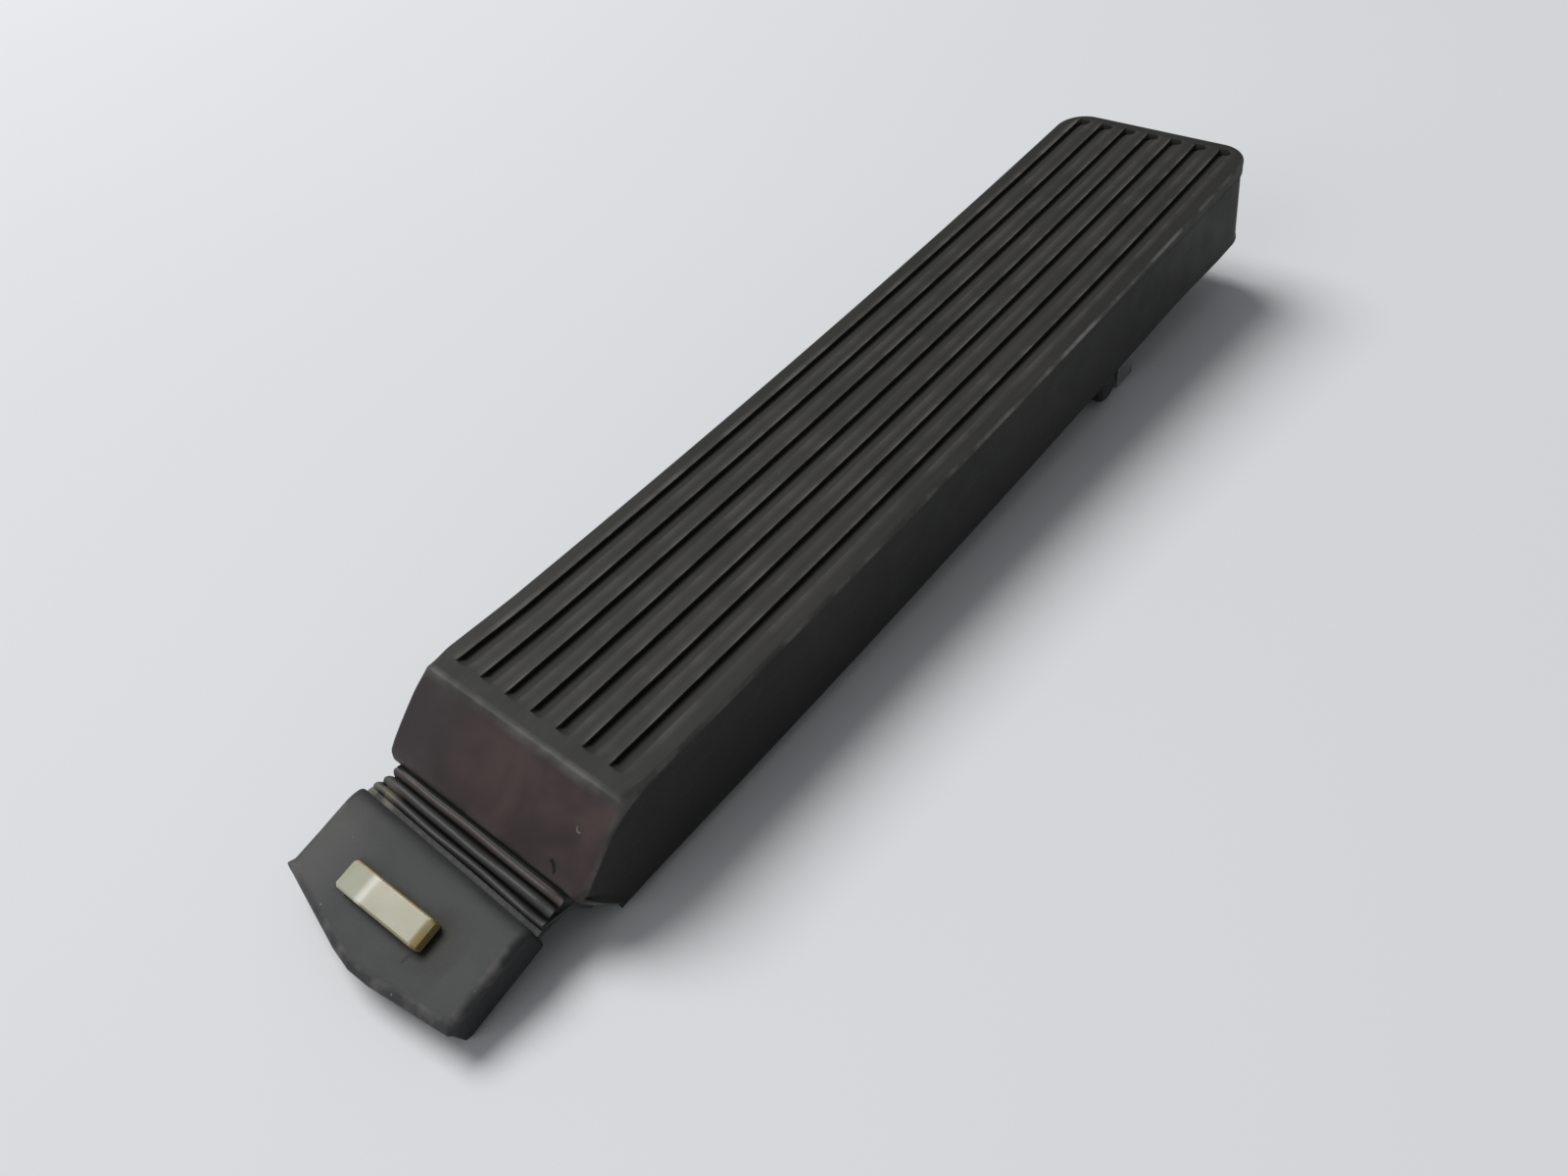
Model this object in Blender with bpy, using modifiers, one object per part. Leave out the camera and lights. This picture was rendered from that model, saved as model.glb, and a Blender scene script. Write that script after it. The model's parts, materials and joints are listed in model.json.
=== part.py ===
"""A floor-hinged pedal: ribbed rubber pad on a nylon core, living rubber hinge, clipped foot.

The origin is on the floor, under the middle of the whole pedal. +X is to the pedal's right,
+Y runs from the foot to the pad's far end and +Z is up. The pad's own pieces are modelled along
a datum at the middle of the pad's near top edge, which is tilted by PAD_RISE, and the foot's
pieces from the middle of its lower front, tilted by FOOT_PITCH: it stands on its front and is
held up behind by the hinge.
"""

from math import cos, pi, radians, sin, tan

import bmesh
import bpy
from mathutils import Matrix, Vector

# Driving dimensions in metres, angles in radians
GAP = 0.0003
PAD_WIDTH = 0.0500
PAD_LENGTH = 0.2248
PAD_DEPTH = 0.0216
PAD_BOW = 0.0021
PAD_RISE = radians(3.26)
PAD_EDGE_HEIGHT = 0.0237
NOSE_TIP = Vector((-0.0150, -0.0111))
NOSE_HEEL = Vector((-0.0083, -0.0205))
FAR_CORNER = 0.0075

SKIN_TOP = 0.0034
SKIN_WALL = 0.0024
LIP_WIDTH = 0.0013
LIP_THICK = 0.0014
RIB_COUNT = 8
GROOVE_DEPTH = 0.0010
GROOVE_NEAR = 0.0030
GROOVE_FAR = 0.0030
GROOVE_SHARE = 0.50
RIB_FIELD = 0.0512

CORE_TOP = 0.0020
CELL_WIDTH = 0.0122
CELL_LENGTH = 0.0240
CELL_PITCH_X = 0.0138
CELL_PITCH_Y = 0.0258
CELL_COUNT_Y = 8
CELL_FIRST_Y = 0.0110

FOOT_PITCH = radians(13.2)
FOOT_X = -0.0012
FOOT_Y = -0.0373
FOOT_HALF = 0.0229
FOOT_LENGTH = 0.0183
FOOT_POINT = 0.0041
FOOT_THICK = 0.0079
FOOT_TAPER = 0.0009
RECESS_LENGTH = 0.0110
RECESS_WIDTH = 0.0340
RECESS_DEPTH = 0.0053
RECESS_Y = 0.0076
INSERT_THICK = 0.0012

CLIP_X = -0.0008
CLIP_Y = 0.0071
CLIP_LENGTH = 0.0210
CLIP_WIDTH = 0.0054
CLIP_RISE = 0.0026
CLIP_STEM = 0.0116
CLIP_STEM_THICK = 0.0026

HINGE_Y = -0.0178
HINGE_Z = 0.0095
BELLOWS_HALF = 0.0218
BELLOWS_FOLDS = 3
CONTACT = 0.0004
TONGUE_THICK = 0.0016
CLAMP_START = 0.0042
CLAMP_END = 0.0094
CLAMP_THICK = 0.0010
CLAMP_HALF = 0.0195
HINGE_SCREW_SPACING = 0.0140

ROLLER_Y = 0.1580
ROLLER_RADIUS = 0.0050
ROLLER_WIDTH = 0.0176
ROLLER_X = 0.0094
HUB_RADIUS = 0.0031
PIN_RADIUS = 0.0016
BRACKET_HALF = 0.0115
BRACKET_SHEET = 0.0015
BRACKET_NEAR = 0.1470
BRACKET_FAR = 0.1780
BRACKET_PLATE_Z = -0.0084
BRACKET_ZONE_NEAR = 0.1400
BRACKET_ZONE_FAR = 0.1850
BRACKET_SCREW_X = 0.0068
BRACKET_SCREW_Y = 0.0105
TAB_OUT = 0.0016
TAB_NEAR = 0.1646
TAB_TOP = -0.0240
TAB_FOOT = -0.0326

FRONT_Y = FOOT_Y - FOOT_POINT * cos(FOOT_PITCH) - FOOT_THICK * sin(FOOT_PITCH)
FAR_Y = PAD_LENGTH * cos(PAD_RISE) + PAD_DEPTH * sin(PAD_RISE)
DATUM_Y = -(FRONT_Y + FAR_Y) / 2

X_TO_Y_Y_TO_Z = Matrix(((0, 0, 1), (1, 0, 0), (0, 1, 0))).to_4x4()
Y_TO_Z = Matrix(((1, 0, 0), (0, 0, -1), (0, 1, 0))).to_4x4()
Z_TO_X = Matrix(((0, 0, 1), (0, 1, 0), (-1, 0, 0))).to_4x4()

NOSE_DOWN = (NOSE_HEEL - NOSE_TIP).normalized()
NOSE_OUT = Vector((NOSE_DOWN.y, -NOSE_DOWN.x))
CHAMFER_OUT = Vector((NOSE_TIP.y, -NOSE_TIP.x)).normalized()


def clear_scene():
    for old in list(bpy.data.objects):
        bpy.data.objects.remove(old, do_unlink=True)
    for old in list(bpy.data.collections):
        bpy.data.collections.remove(old)


def new_collection(name):
    collection = bpy.data.collections.new(name)
    bpy.context.scene.collection.children.link(collection)
    return collection


def new_material(name, color, roughness, metallic=0.0):
    material = bpy.data.materials.new(name)
    material.use_nodes = True
    shader = material.node_tree.nodes["Principled BSDF"]
    shader.inputs["Base Color"].default_value = (*color, 1.0)
    shader.inputs["Roughness"].default_value = roughness
    shader.inputs["Metallic"].default_value = metallic
    return material


clear_scene()
PARTS = new_collection("floor_hinged_pedal")
CUTTERS = new_collection("cutters")

PAD_RUBBER = new_material("pad_rubber", (0.040, 0.040, 0.039), 0.55)
FOOT_RUBBER = new_material("foot_rubber", (0.085, 0.090, 0.090), 0.75)
CORE_NYLON = new_material("core_nylon", (0.025, 0.025, 0.026), 0.45)
CLIP_NYLON = new_material("clip_nylon", (0.62, 0.60, 0.48), 0.35)
SHEET_STEEL = new_material("sheet_steel", (0.33, 0.34, 0.35), 0.40, 1.0)
ZINC_STEEL = new_material("zinc_steel", (0.62, 0.60, 0.52), 0.32, 1.0)
ROLLER_RUBBER = new_material("roller_rubber", (0.020, 0.020, 0.020), 0.70)
ROLLER_NYLON = new_material("roller_nylon", (0.55, 0.54, 0.48), 0.40)


def empty(name, parent, location, tilt=0.0):
    guide = bpy.data.objects.new(name, None)
    guide.location = location
    guide.rotation_euler.x = tilt
    guide.parent = parent
    PARTS.objects.link(guide)
    return guide


def follow(part, parent):
    """Parents a piece and, in turn, everything that cuts it or is joined to it."""
    part.parent = parent
    for step in part.modifiers:
        if step.type == "BOOLEAN":
            follow(step.object, parent)


def finish(part, material, parent):
    """Puts a piece in the pedal's collection with its material and parent."""
    for holder in list(part.users_collection):
        holder.objects.unlink(part)
    PARTS.objects.link(part)
    part.data.materials.clear()
    part.data.materials.append(material)
    follow(part, parent)
    part.data.shade_smooth()
    part.data.set_sharp_from_angle(angle=radians(32))
    return part


def as_cutter(part):
    for holder in list(part.users_collection):
        holder.objects.unlink(part)
    CUTTERS.objects.link(part)
    part.hide_render = True
    part.display_type = "WIRE"
    return part


def boolean(part, other, operation="DIFFERENCE"):
    step = part.modifiers.new(operation.lower(), "BOOLEAN")
    step.operation = operation
    step.object = as_cutter(other)
    return part


def bevel(part, width, segments=2, angle=radians(40)):
    step = part.modifiers.new("round_edges", "BEVEL")
    step.width = width
    step.segments = segments
    step.limit_method = "ANGLE"
    step.angle_limit = angle
    return part


def mesh_object(name, mesh):
    mesh.name = name
    part = bpy.data.objects.new(name, mesh)
    bpy.context.scene.collection.objects.link(part)
    return part


def evaluated_mesh(part):
    graph = bpy.context.evaluated_depsgraph_get()
    return bpy.data.meshes.new_from_object(part.evaluated_get(graph), depsgraph=graph)


def outline_solid(name, points, thickness, turn=Matrix.Identity(4)):
    """A flat outline thickened evenly about its own plane, then turned by a matrix."""
    curve = bpy.data.curves.new(name, "CURVE")
    curve.dimensions = "2D"
    curve.fill_mode = "BOTH"
    curve.extrude = thickness / 2
    spline = curve.splines.new("POLY")
    spline.points.add(len(points) - 1)
    for control, (x, y) in zip(spline.points, points):
        control.co = (x, y, 0.0, 1.0)
    spline.use_cyclic_u = True
    flat = bpy.data.objects.new(name, curve)
    bpy.context.scene.collection.objects.link(flat)
    mesh = evaluated_mesh(flat)
    bpy.data.objects.remove(flat)
    mesh.transform(turn)
    body = bmesh.new()
    body.from_mesh(mesh)
    bmesh.ops.remove_doubles(body, verts=body.verts, dist=1e-6)
    bmesh.ops.recalc_face_normals(body, faces=body.faces)
    body.to_mesh(mesh)
    body.free()
    return mesh_object(name, mesh)


def side_solid(name, points, width):
    """An outline of (y, z) points, thickened along X."""
    return outline_solid(name, points, width, X_TO_Y_Y_TO_Z)


def front_solid(name, points, depth):
    """An outline of (x, z) points, thickened along Y."""
    return outline_solid(name, points, depth, Y_TO_Z)


def block(name, low, high):
    low = Vector(low)
    high = Vector(high)
    bpy.ops.mesh.primitive_cube_add(size=1.0)
    part = bpy.context.object
    part.name = name
    part.data.transform(Matrix.Translation((low + high) / 2) @ Matrix.Diagonal((*(high - low), 1.0)))
    return part


def rod(name, radius, length, place, sides=24):
    """A cylinder of given length along the local Z of the matrix, centred on it."""
    bpy.ops.mesh.primitive_cylinder_add(vertices=sides, radius=radius, depth=length)
    part = bpy.context.object
    part.name = name
    part.data.transform(place)
    return part


def joined(name, parts):
    body = bmesh.new()
    for part in parts:
        body.from_mesh(part.data)
        bpy.data.objects.remove(part)
    mesh = bpy.data.meshes.new(name)
    body.to_mesh(mesh)
    body.free()
    return mesh_object(name, mesh)


def turned(name, profile, steps=28, ring=False):
    """A profile of (radius, height) points, listed top to bottom down its outer side."""
    mesh = bpy.data.meshes.new(name)
    last = len(profile) - 1
    edges = [(i, i + 1) for i in range(last)]
    if ring:
        edges.append((last, 0))
    mesh.from_pydata([(radius, 0.0, height) for radius, height in profile], edges, [])
    part = mesh_object(name, mesh)
    step = part.modifiers.new("turn", "SCREW")
    step.steps = steps
    step.render_steps = steps
    step.use_merge_vertices = True
    step.merge_threshold = 1e-5
    solid = mesh_object(name + "_solid", evaluated_mesh(part))
    bpy.data.objects.remove(part)
    solid.name = name
    return solid


def arc(centre, radius, start, stop, steps):
    """Points on an arc, both ends included, with angles in radians."""
    return [
        (
            centre[0] + radius * cos(start + (stop - start) * i / steps),
            centre[1] + radius * sin(start + (stop - start) * i / steps),
        )
        for i in range(steps + 1)
    ]


def bow(y):
    """How far the pad's middle sags below the line through its two ends."""
    along = max(y, 0.0) / PAD_LENGTH
    return PAD_BOW * ((2 * along - 1) ** 2 - 1)


def meet(point_a, direction_a, point_b, direction_b):
    """Where two lines of the side view cross."""
    cross = direction_a.x * direction_b.y - direction_a.y * direction_b.x
    offset = point_b - point_a
    along = (offset.x * direction_b.y - offset.y * direction_b.x) / cross
    return point_a + direction_a * along


def pad_profile(inset, top, bottom, stations=14):
    """The pad's side view with its nose and far end moved in by inset, top and bottom below datum."""
    level = Vector((1.0, 0.0))
    chamfer_point = CHAMFER_OUT * -inset
    chamfer_line = NOSE_TIP.normalized()
    heel_point = NOSE_TIP - NOSE_OUT * inset
    shoulder = meet(Vector((0.0, -top)), level, chamfer_point, chamfer_line)
    tip = meet(chamfer_point, chamfer_line, heel_point, NOSE_DOWN)
    heel = meet(heel_point, NOSE_DOWN, Vector((0.0, -bottom)), level)
    far = PAD_LENGTH - inset
    near_stations = [max(shoulder.x, 0.0) + (far - max(shoulder.x, 0.0)) * i / stations
                     for i in range(1, stations + 1)]
    top_line = [(y, bow(y) - top) for y in near_stations]
    bottom_line = [(y, bow(y) - bottom) for y in reversed(near_stations)]
    return [tuple(tip), tuple(shoulder), *top_line, *bottom_line, tuple(heel)]


def pad_plan(inset, steps=6):
    """The pad's outline from above, with round far corners and tighter near ones."""
    half = PAD_WIDTH / 2 - inset
    far = PAD_LENGTH - inset
    near = NOSE_TIP.x - 0.002
    radius = max(FAR_CORNER - inset, 0.001)
    right = arc((half - radius, far - radius), radius, 0.0, pi / 2, steps)
    left = arc((radius - half, far - radius), radius, pi / 2, pi, steps)
    return [(half, near), *right, *left, (-half, near)]


def pad_block(name, inset, top, bottom):
    """The pad's solid with every side moved in by inset."""
    tall = 0.08
    part = outline_solid(name, pad_plan(inset), tall)
    side = side_solid(name + "_side", pad_profile(inset, top, bottom), PAD_WIDTH * 2)
    return boolean(part, side, "INTERSECT")


def tread_grooves():
    """Seven shallow grooves that leave eight ribs, following the pad's bow."""
    pitch = RIB_FIELD / RIB_COUNT
    near = GROOVE_NEAR
    far = PAD_LENGTH - GROOVE_FAR
    stations = 12
    ys = [near + (far - near) * i / stations for i in range(stations + 1)]
    floor = [(y, bow(y) - GROOVE_DEPTH) for y in ys]
    outline = [*floor, (far, 0.002), (near, 0.002)]
    cuts = []
    for i in range(RIB_COUNT - 1):
        cut = side_solid("groove", outline, pitch * GROOVE_SHARE)
        cut.data.transform(Matrix.Translation(((i + 1 - RIB_COUNT / 2) * pitch, 0.0, 0.0)))
        cuts.append(cut)
    return joined("tread_grooves", cuts)


def heel_place(across, down, out):
    """A matrix on the nose's lower face: X across the pad, Z out of the face."""
    point = NOSE_TIP + NOSE_DOWN * down + NOSE_OUT * out
    side = Vector((1.0, 0.0, 0.0))
    normal = Vector((0.0, NOSE_OUT.x, NOSE_OUT.y))
    turn = Matrix((side, normal.cross(side), normal)).transposed().to_4x4()
    return Matrix.Translation((across, point.x, point.y)) @ turn


def heel_screw_holes(radius):
    middle = (CLAMP_START + CLAMP_END) / 2
    length = 0.024
    holes = [
        rod("hole", radius, length, heel_place(i * HINGE_SCREW_SPACING, middle, 0.0), 16)
        for i in (-1, 0, 1)
    ]
    return joined("heel_holes", holes)


def make_pad_cover(parent):
    cover = pad_block("pad_cover", 0.0, 0.0, PAD_DEPTH)
    bevel(cover, 0.0007)
    boolean(cover, pad_block("cover_cavity", SKIN_WALL, SKIN_TOP, PAD_DEPTH - LIP_THICK))
    mouth = block(
        "cover_mouth",
        (SKIN_WALL + LIP_WIDTH - PAD_WIDTH / 2, 0.0, -PAD_DEPTH - 0.005),
        (PAD_WIDTH / 2 - SKIN_WALL - LIP_WIDTH, PAD_LENGTH - SKIN_WALL - LIP_WIDTH, -PAD_DEPTH / 2),
    )
    boolean(cover, mouth)
    boolean(cover, tread_grooves())
    boolean(cover, heel_screw_holes(0.0019))
    return finish(cover, PAD_RUBBER, parent)


def core_cells():
    """Open pockets in the core's underside: three columns of cells, and one bay for the bracket."""
    cells = []
    for row in range(CELL_COUNT_Y):
        middle = CELL_FIRST_Y + CELL_LENGTH / 2 + row * CELL_PITCH_Y
        near = middle - CELL_LENGTH / 2
        far = middle + CELL_LENGTH / 2
        ceiling = bow(middle) - SKIN_TOP - GAP - CORE_TOP - 0.0004
        in_bay = far > BRACKET_ZONE_NEAR and near < BRACKET_ZONE_FAR
        for column in (-1, 0, 1):
            if in_bay and column >= 0:
                continue
            x = column * CELL_PITCH_X
            low = (x - CELL_WIDTH / 2, near, -0.05)
            cells.append(block("cell", low, (x + CELL_WIDTH / 2, far, ceiling)))
    bay_left = ROLLER_X - BRACKET_HALF - 0.0012
    bay_right = ROLLER_X + BRACKET_HALF + GAP
    bay_ceiling = BRACKET_PLATE_Z + GAP
    cells.append(block("bay", (bay_left, BRACKET_ZONE_NEAR, -0.05), (bay_right, BRACKET_ZONE_FAR, bay_ceiling)))
    return joined("core_cells", cells)


def bracket_screw_spots():
    middle = (BRACKET_NEAR + BRACKET_FAR) / 2
    return [
        (ROLLER_X + sx * BRACKET_SCREW_X, middle + sy * BRACKET_SCREW_Y)
        for sy in (-1, 1)
        for sx in (-1, 1)
    ]


def bracket_screw_holes(radius, low, high):
    holes = [
        rod("hole", radius, high - low, Matrix.Translation((x, y, (low + high) / 2)), 16)
        for x, y in bracket_screw_spots()
    ]
    return joined("bracket_holes", holes)


def make_core_frame(parent):
    inset = SKIN_WALL + GAP
    core = pad_block("core_frame", inset, SKIN_TOP + GAP, PAD_DEPTH - LIP_THICK - GAP)
    boolean(core, core_cells())
    boolean(core, bracket_screw_holes(0.0015, BRACKET_PLATE_Z - 0.002, BRACKET_PLATE_Z + 0.0021))
    boolean(core, heel_screw_holes(0.0019))
    return finish(core, CORE_NYLON, parent)


def foot_outline(inset):
    """The foot from above, in its own frame: a straight back and a shallow, blunted point in front."""
    half = FOOT_HALF - inset
    tip_y = inset - FOOT_POINT
    shoulder = half * 0.22
    shoulder_y = tip_y + FOOT_POINT * 0.13
    right = [(half, inset), (shoulder, shoulder_y), (0.0, tip_y)]
    left = [(-shoulder, shoulder_y), (-half, inset)]
    return [(half, FOOT_LENGTH), *right, *left, (-half, FOOT_LENGTH)]


def tapered_solid(name, outline_low, outline_high, low, high):
    """A loft between two outlines with the same number of points."""
    body = bmesh.new()
    lower = [body.verts.new((x, y, low)) for x, y in outline_low]
    upper = [body.verts.new((x, y, high)) for x, y in outline_high]
    body.faces.new(lower)
    body.faces.new(upper)
    count = len(lower)
    for i in range(count):
        j = (i + 1) % count
        body.faces.new((lower[i], lower[j], upper[j], upper[i]))
    bmesh.ops.recalc_face_normals(body, faces=body.faces)
    mesh = bpy.data.meshes.new(name)
    body.to_mesh(mesh)
    body.free()
    return mesh_object(name, mesh)


def clip_slot(name, spare, low, high):
    half_x = CLIP_STEM / 2 + spare
    half_y = CLIP_STEM_THICK / 2 + spare
    return block(name, (CLIP_X - half_x, CLIP_Y - half_y, low), (CLIP_X + half_x, CLIP_Y + half_y, high))


def make_foot_block(parent):
    """A flat plate, cut level under its point so that it stands on the floor when it is pitched."""
    foot = tapered_solid("foot_block", foot_outline(FOOT_TAPER), foot_outline(0.0), -0.001, FOOT_THICK)
    bevel(foot, 0.0007)
    ahead = FOOT_POINT + 0.002
    side = [(-ahead, ahead * tan(FOOT_PITCH)), (0.0, 0.0), (FOOT_LENGTH + 0.002, 0.0),
            (FOOT_LENGTH + 0.002, FOOT_THICK + 0.002), (-ahead, FOOT_THICK + 0.002)]
    boolean(foot, side_solid("foot_side", side, PAD_WIDTH * 2), "INTERSECT")
    recess = block(
        "foot_recess",
        (-RECESS_WIDTH / 2, RECESS_Y - RECESS_LENGTH / 2, -0.002),
        (RECESS_WIDTH / 2, RECESS_Y + RECESS_LENGTH / 2, RECESS_DEPTH),
    )
    boolean(foot, recess)
    boolean(foot, clip_slot("foot_slot", GAP, 0.001, FOOT_THICK + 0.003))
    return finish(foot, FOOT_RUBBER, parent)


def make_foot_insert(parent):
    spare = GAP
    top = RECESS_DEPTH - GAP
    plate = block(
        "foot_insert",
        (spare - RECESS_WIDTH / 2, RECESS_Y - RECESS_LENGTH / 2 + spare, top - INSERT_THICK),
        (RECESS_WIDTH / 2 - spare, RECESS_Y + RECESS_LENGTH / 2 - spare, top),
    )
    boolean(plate, clip_slot("insert_slot", GAP, 0.001, FOOT_THICK))
    return finish(plate, ZINC_STEEL, parent)


def make_retaining_clip(parent):
    """A low humped head on a flat stem that ends in two barbed legs under the steel insert."""
    head_z = FOOT_THICK + GAP
    half = CLIP_LENGTH / 2
    hump = -half + CLIP_LENGTH * 0.34
    head = front_solid(
        "retaining_clip",
        [(-half, head_z), (half, head_z), (half, head_z + CLIP_RISE * 0.82), (half - 0.0012, head_z + CLIP_RISE),
         (hump, head_z + CLIP_RISE * 1.05), (-half, head_z + CLIP_RISE * 0.62)],
        CLIP_WIDTH,
    )
    bevel(head, 0.0004)
    shelf = RECESS_DEPTH - INSERT_THICK - GAP * 2
    stem = CLIP_STEM / 2
    leg = 0.0022
    barb = stem + 0.0016
    tail = 0.0008
    half_outline = [(0.0, head_z + CLIP_RISE * 0.5), (stem, head_z + CLIP_RISE * 0.5), (stem, shelf),
                    (barb, shelf), (barb, shelf - 0.0008), (stem, tail), (stem - leg, tail), (stem - leg, RECESS_DEPTH + 0.0004)]
    mirrored = [(-x, z) for x, z in reversed(half_outline[1:])]
    shank = front_solid("clip_shank", [*half_outline, *mirrored], CLIP_STEM_THICK)
    for piece in (head, shank):
        piece.data.transform(Matrix.Translation((CLIP_X, CLIP_Y, 0.0)))
    boolean(head, shank, "UNION")
    return finish(head, CLIP_NYLON, parent)


def from_pad(y, z):
    """A pad point in the side view, seen from the level datum."""
    return Vector((y * cos(PAD_RISE) - z * sin(PAD_RISE), PAD_EDGE_HEIGHT + y * sin(PAD_RISE) + z * cos(PAD_RISE)))


def heel_point(down, out):
    point = NOSE_TIP + NOSE_DOWN * down + NOSE_OUT * out
    return from_pad(point.x, point.y)


def foot_back_point(rise, out):
    """A point on the foot's back face, seen from the level datum: up the face and out of it."""
    y = FOOT_LENGTH + out
    return Vector((FOOT_Y + y * cos(FOOT_PITCH) - rise * sin(FOOT_PITCH), y * sin(FOOT_PITCH) + rise * cos(FOOT_PITCH)))


def make_hinge_bellows(parent):
    """Three folds from the foot over to the nose, a web below them and a tongue for the clamp."""
    low = foot_back_point(FOOT_THICK - 0.0006, CONTACT)
    high = heel_point(0.0002, CONTACT)
    step = (high - low) / BELLOWS_FOLDS
    outward = Vector((-step.y, step.x)).normalized()
    folds = []
    for fold in range(BELLOWS_FOLDS):
        start = low + step * fold
        for share, lift in ((0.0, 0.0), (0.14, 0.62), (0.36, 1.0), (0.64, 1.0), (0.86, 0.62)):
            folds.append(tuple(start + step * share + outward * lift * 0.0012))
    back = CONTACT + TONGUE_THICK
    tongue = [high, heel_point(CLAMP_END, CONTACT), heel_point(CLAMP_END, back), heel_point(CLAMP_START - 0.0006, back)]
    web = [heel_point(CLAMP_START - 0.0026, back + 0.0018), foot_back_point(0.0030, CONTACT)]
    outline = [*folds, *[tuple(point) for point in (*tongue, *web)]]
    bellows = side_solid("hinge_bellows", outline, BELLOWS_HALF * 2)
    holes = heel_screw_holes(0.0019)
    holes.data.transform(Matrix.Translation((0.0, 0.0, PAD_EDGE_HEIGHT)) @ Matrix.Rotation(PAD_RISE, 4, "X"))
    boolean(bellows, holes)
    return finish(bellows, FOOT_RUBBER, parent)


def make_hinge_clamp(parent):
    out = CONTACT + TONGUE_THICK + GAP
    strip = block(
        "hinge_clamp",
        (-CLAMP_HALF, (CLAMP_START - CLAMP_END) / 2, 0.0),
        (CLAMP_HALF, (CLAMP_END - CLAMP_START) / 2, CLAMP_THICK),
    )
    strip.data.transform(heel_place(0.0, (CLAMP_START + CLAMP_END) / 2, out))
    bevel(strip, 0.0003, 1)
    boolean(strip, heel_screw_holes(0.0019))
    return finish(strip, SHEET_STEEL, parent)


def screw_mesh(name, shank_radius, shank_length, head_radius, head_height):
    """A pan-head screw with a cross recess, its seat at z = 0 and its head above."""
    crown = head_height * 0.45
    profile = [
        (0.0, head_height),
        (head_radius * 0.55, head_height),
        (head_radius * 0.88, head_height - crown * 0.4),
        (head_radius, head_height - crown),
        (head_radius, 0.0),
        (shank_radius, 0.0),
        (shank_radius, -shank_length + 0.0008),
        (shank_radius * 0.45, -shank_length),
        (0.0, -shank_length),
    ]
    screw = turned(name, profile, 20)
    arm = head_radius * 0.52
    slot = head_radius * 0.13
    floor = head_height * 0.45
    boolean(screw, block("cross_a", (-arm, -slot, floor), (arm, slot, head_height * 2)))
    boolean(screw, block("cross_b", (-slot, -arm, floor), (slot, arm, head_height * 2)))
    mesh = evaluated_mesh(screw)
    bpy.data.objects.remove(screw)
    return mesh


def make_hinge_screws(parent):
    seat = CONTACT + TONGUE_THICK + GAP + CLAMP_THICK + GAP
    mesh = screw_mesh("hinge_screw", 0.0015, 0.0095, 0.0025, 0.0012)
    for i in range(3):
        screw = mesh_object(f"hinge_screw_{i + 1}", mesh)
        screw.matrix_basis = heel_place((i - 1) * HINGE_SCREW_SPACING, (CLAMP_START + CLAMP_END) / 2, seat)
        finish(screw, ZINC_STEEL, parent)


def bracket_tab(right, far):
    """The lower end of the right cheek's far edge, stepped outwards below the skirt."""
    outside = right + TAB_OUT
    step = block("tab_step", (right - BRACKET_SHEET, TAB_NEAR, TAB_TOP - BRACKET_SHEET), (outside, far, TAB_TOP))
    tab = block("tab", (outside - BRACKET_SHEET, TAB_NEAR, TAB_FOOT), (outside, far, TAB_TOP))
    boolean(tab, step, "UNION")
    return tab


def make_linkage_bracket(parent, axle_z):
    """A pressed U: a base plate under the core and two cheeks that carry the roller's pin."""
    plate_top = BRACKET_PLATE_Z
    left = ROLLER_X - BRACKET_HALF
    right = ROLLER_X + BRACKET_HALF
    bracket = block(
        "linkage_bracket",
        (left, BRACKET_NEAR, plate_top - BRACKET_SHEET),
        (right, BRACKET_FAR, plate_top),
    )
    nose_radius = ROLLER_RADIUS - 0.0010
    leg_y = ROLLER_Y + 0.0142
    leg_foot = axle_z - nose_radius + 0.0004
    cheek = [
        (BRACKET_NEAR, plate_top - 0.0004),
        (BRACKET_NEAR + 0.0008, plate_top - 0.0060),
        *arc((ROLLER_Y, axle_z), nose_radius, pi * 1.08, pi * 1.5, 7),
        (leg_y - 0.0018, leg_foot - 0.0004),
        (leg_y, leg_foot + 0.0014),
        (leg_y + 0.0012, plate_top - 0.0060),
        (BRACKET_FAR - 0.0012, plate_top - 0.0004),
    ]
    for name, x in (("left_cheek", left + BRACKET_SHEET / 2), ("right_cheek", right - BRACKET_SHEET / 2)):
        side = side_solid(name, cheek, BRACKET_SHEET)
        side.data.transform(Matrix.Translation((x, 0.0, 0.0)))
        boolean(bracket, side, "UNION")
    boolean(bracket, bracket_tab(right, leg_y - 0.0002), "UNION")
    boolean(bracket, rod("pin_hole", PIN_RADIUS + 0.0003, 0.04,
                         Matrix.Translation((ROLLER_X, ROLLER_Y, axle_z)) @ Z_TO_X))
    boolean(bracket, bracket_screw_holes(0.0019, plate_top - 0.006, plate_top + 0.002))
    return finish(bracket, SHEET_STEEL, parent)


def make_bracket_screws(parent):
    mesh = screw_mesh("bracket_screw", 0.0012, 0.0036, 0.0031, 0.0017)
    turn = Matrix.Rotation(pi, 4, "X")
    for i, (x, y) in enumerate(bracket_screw_spots()):
        screw = mesh_object(f"bracket_screw_{i + 1}", mesh)
        seat = BRACKET_PLATE_Z - BRACKET_SHEET - GAP
        screw.matrix_basis = Matrix.Translation((x, y, seat)) @ turn
        finish(screw, ZINC_STEEL, parent)


def along_x(part, x=0.0):
    part.data.transform(Matrix.Translation((x, 0.0, 0.0)) @ Z_TO_X)
    return part


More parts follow.
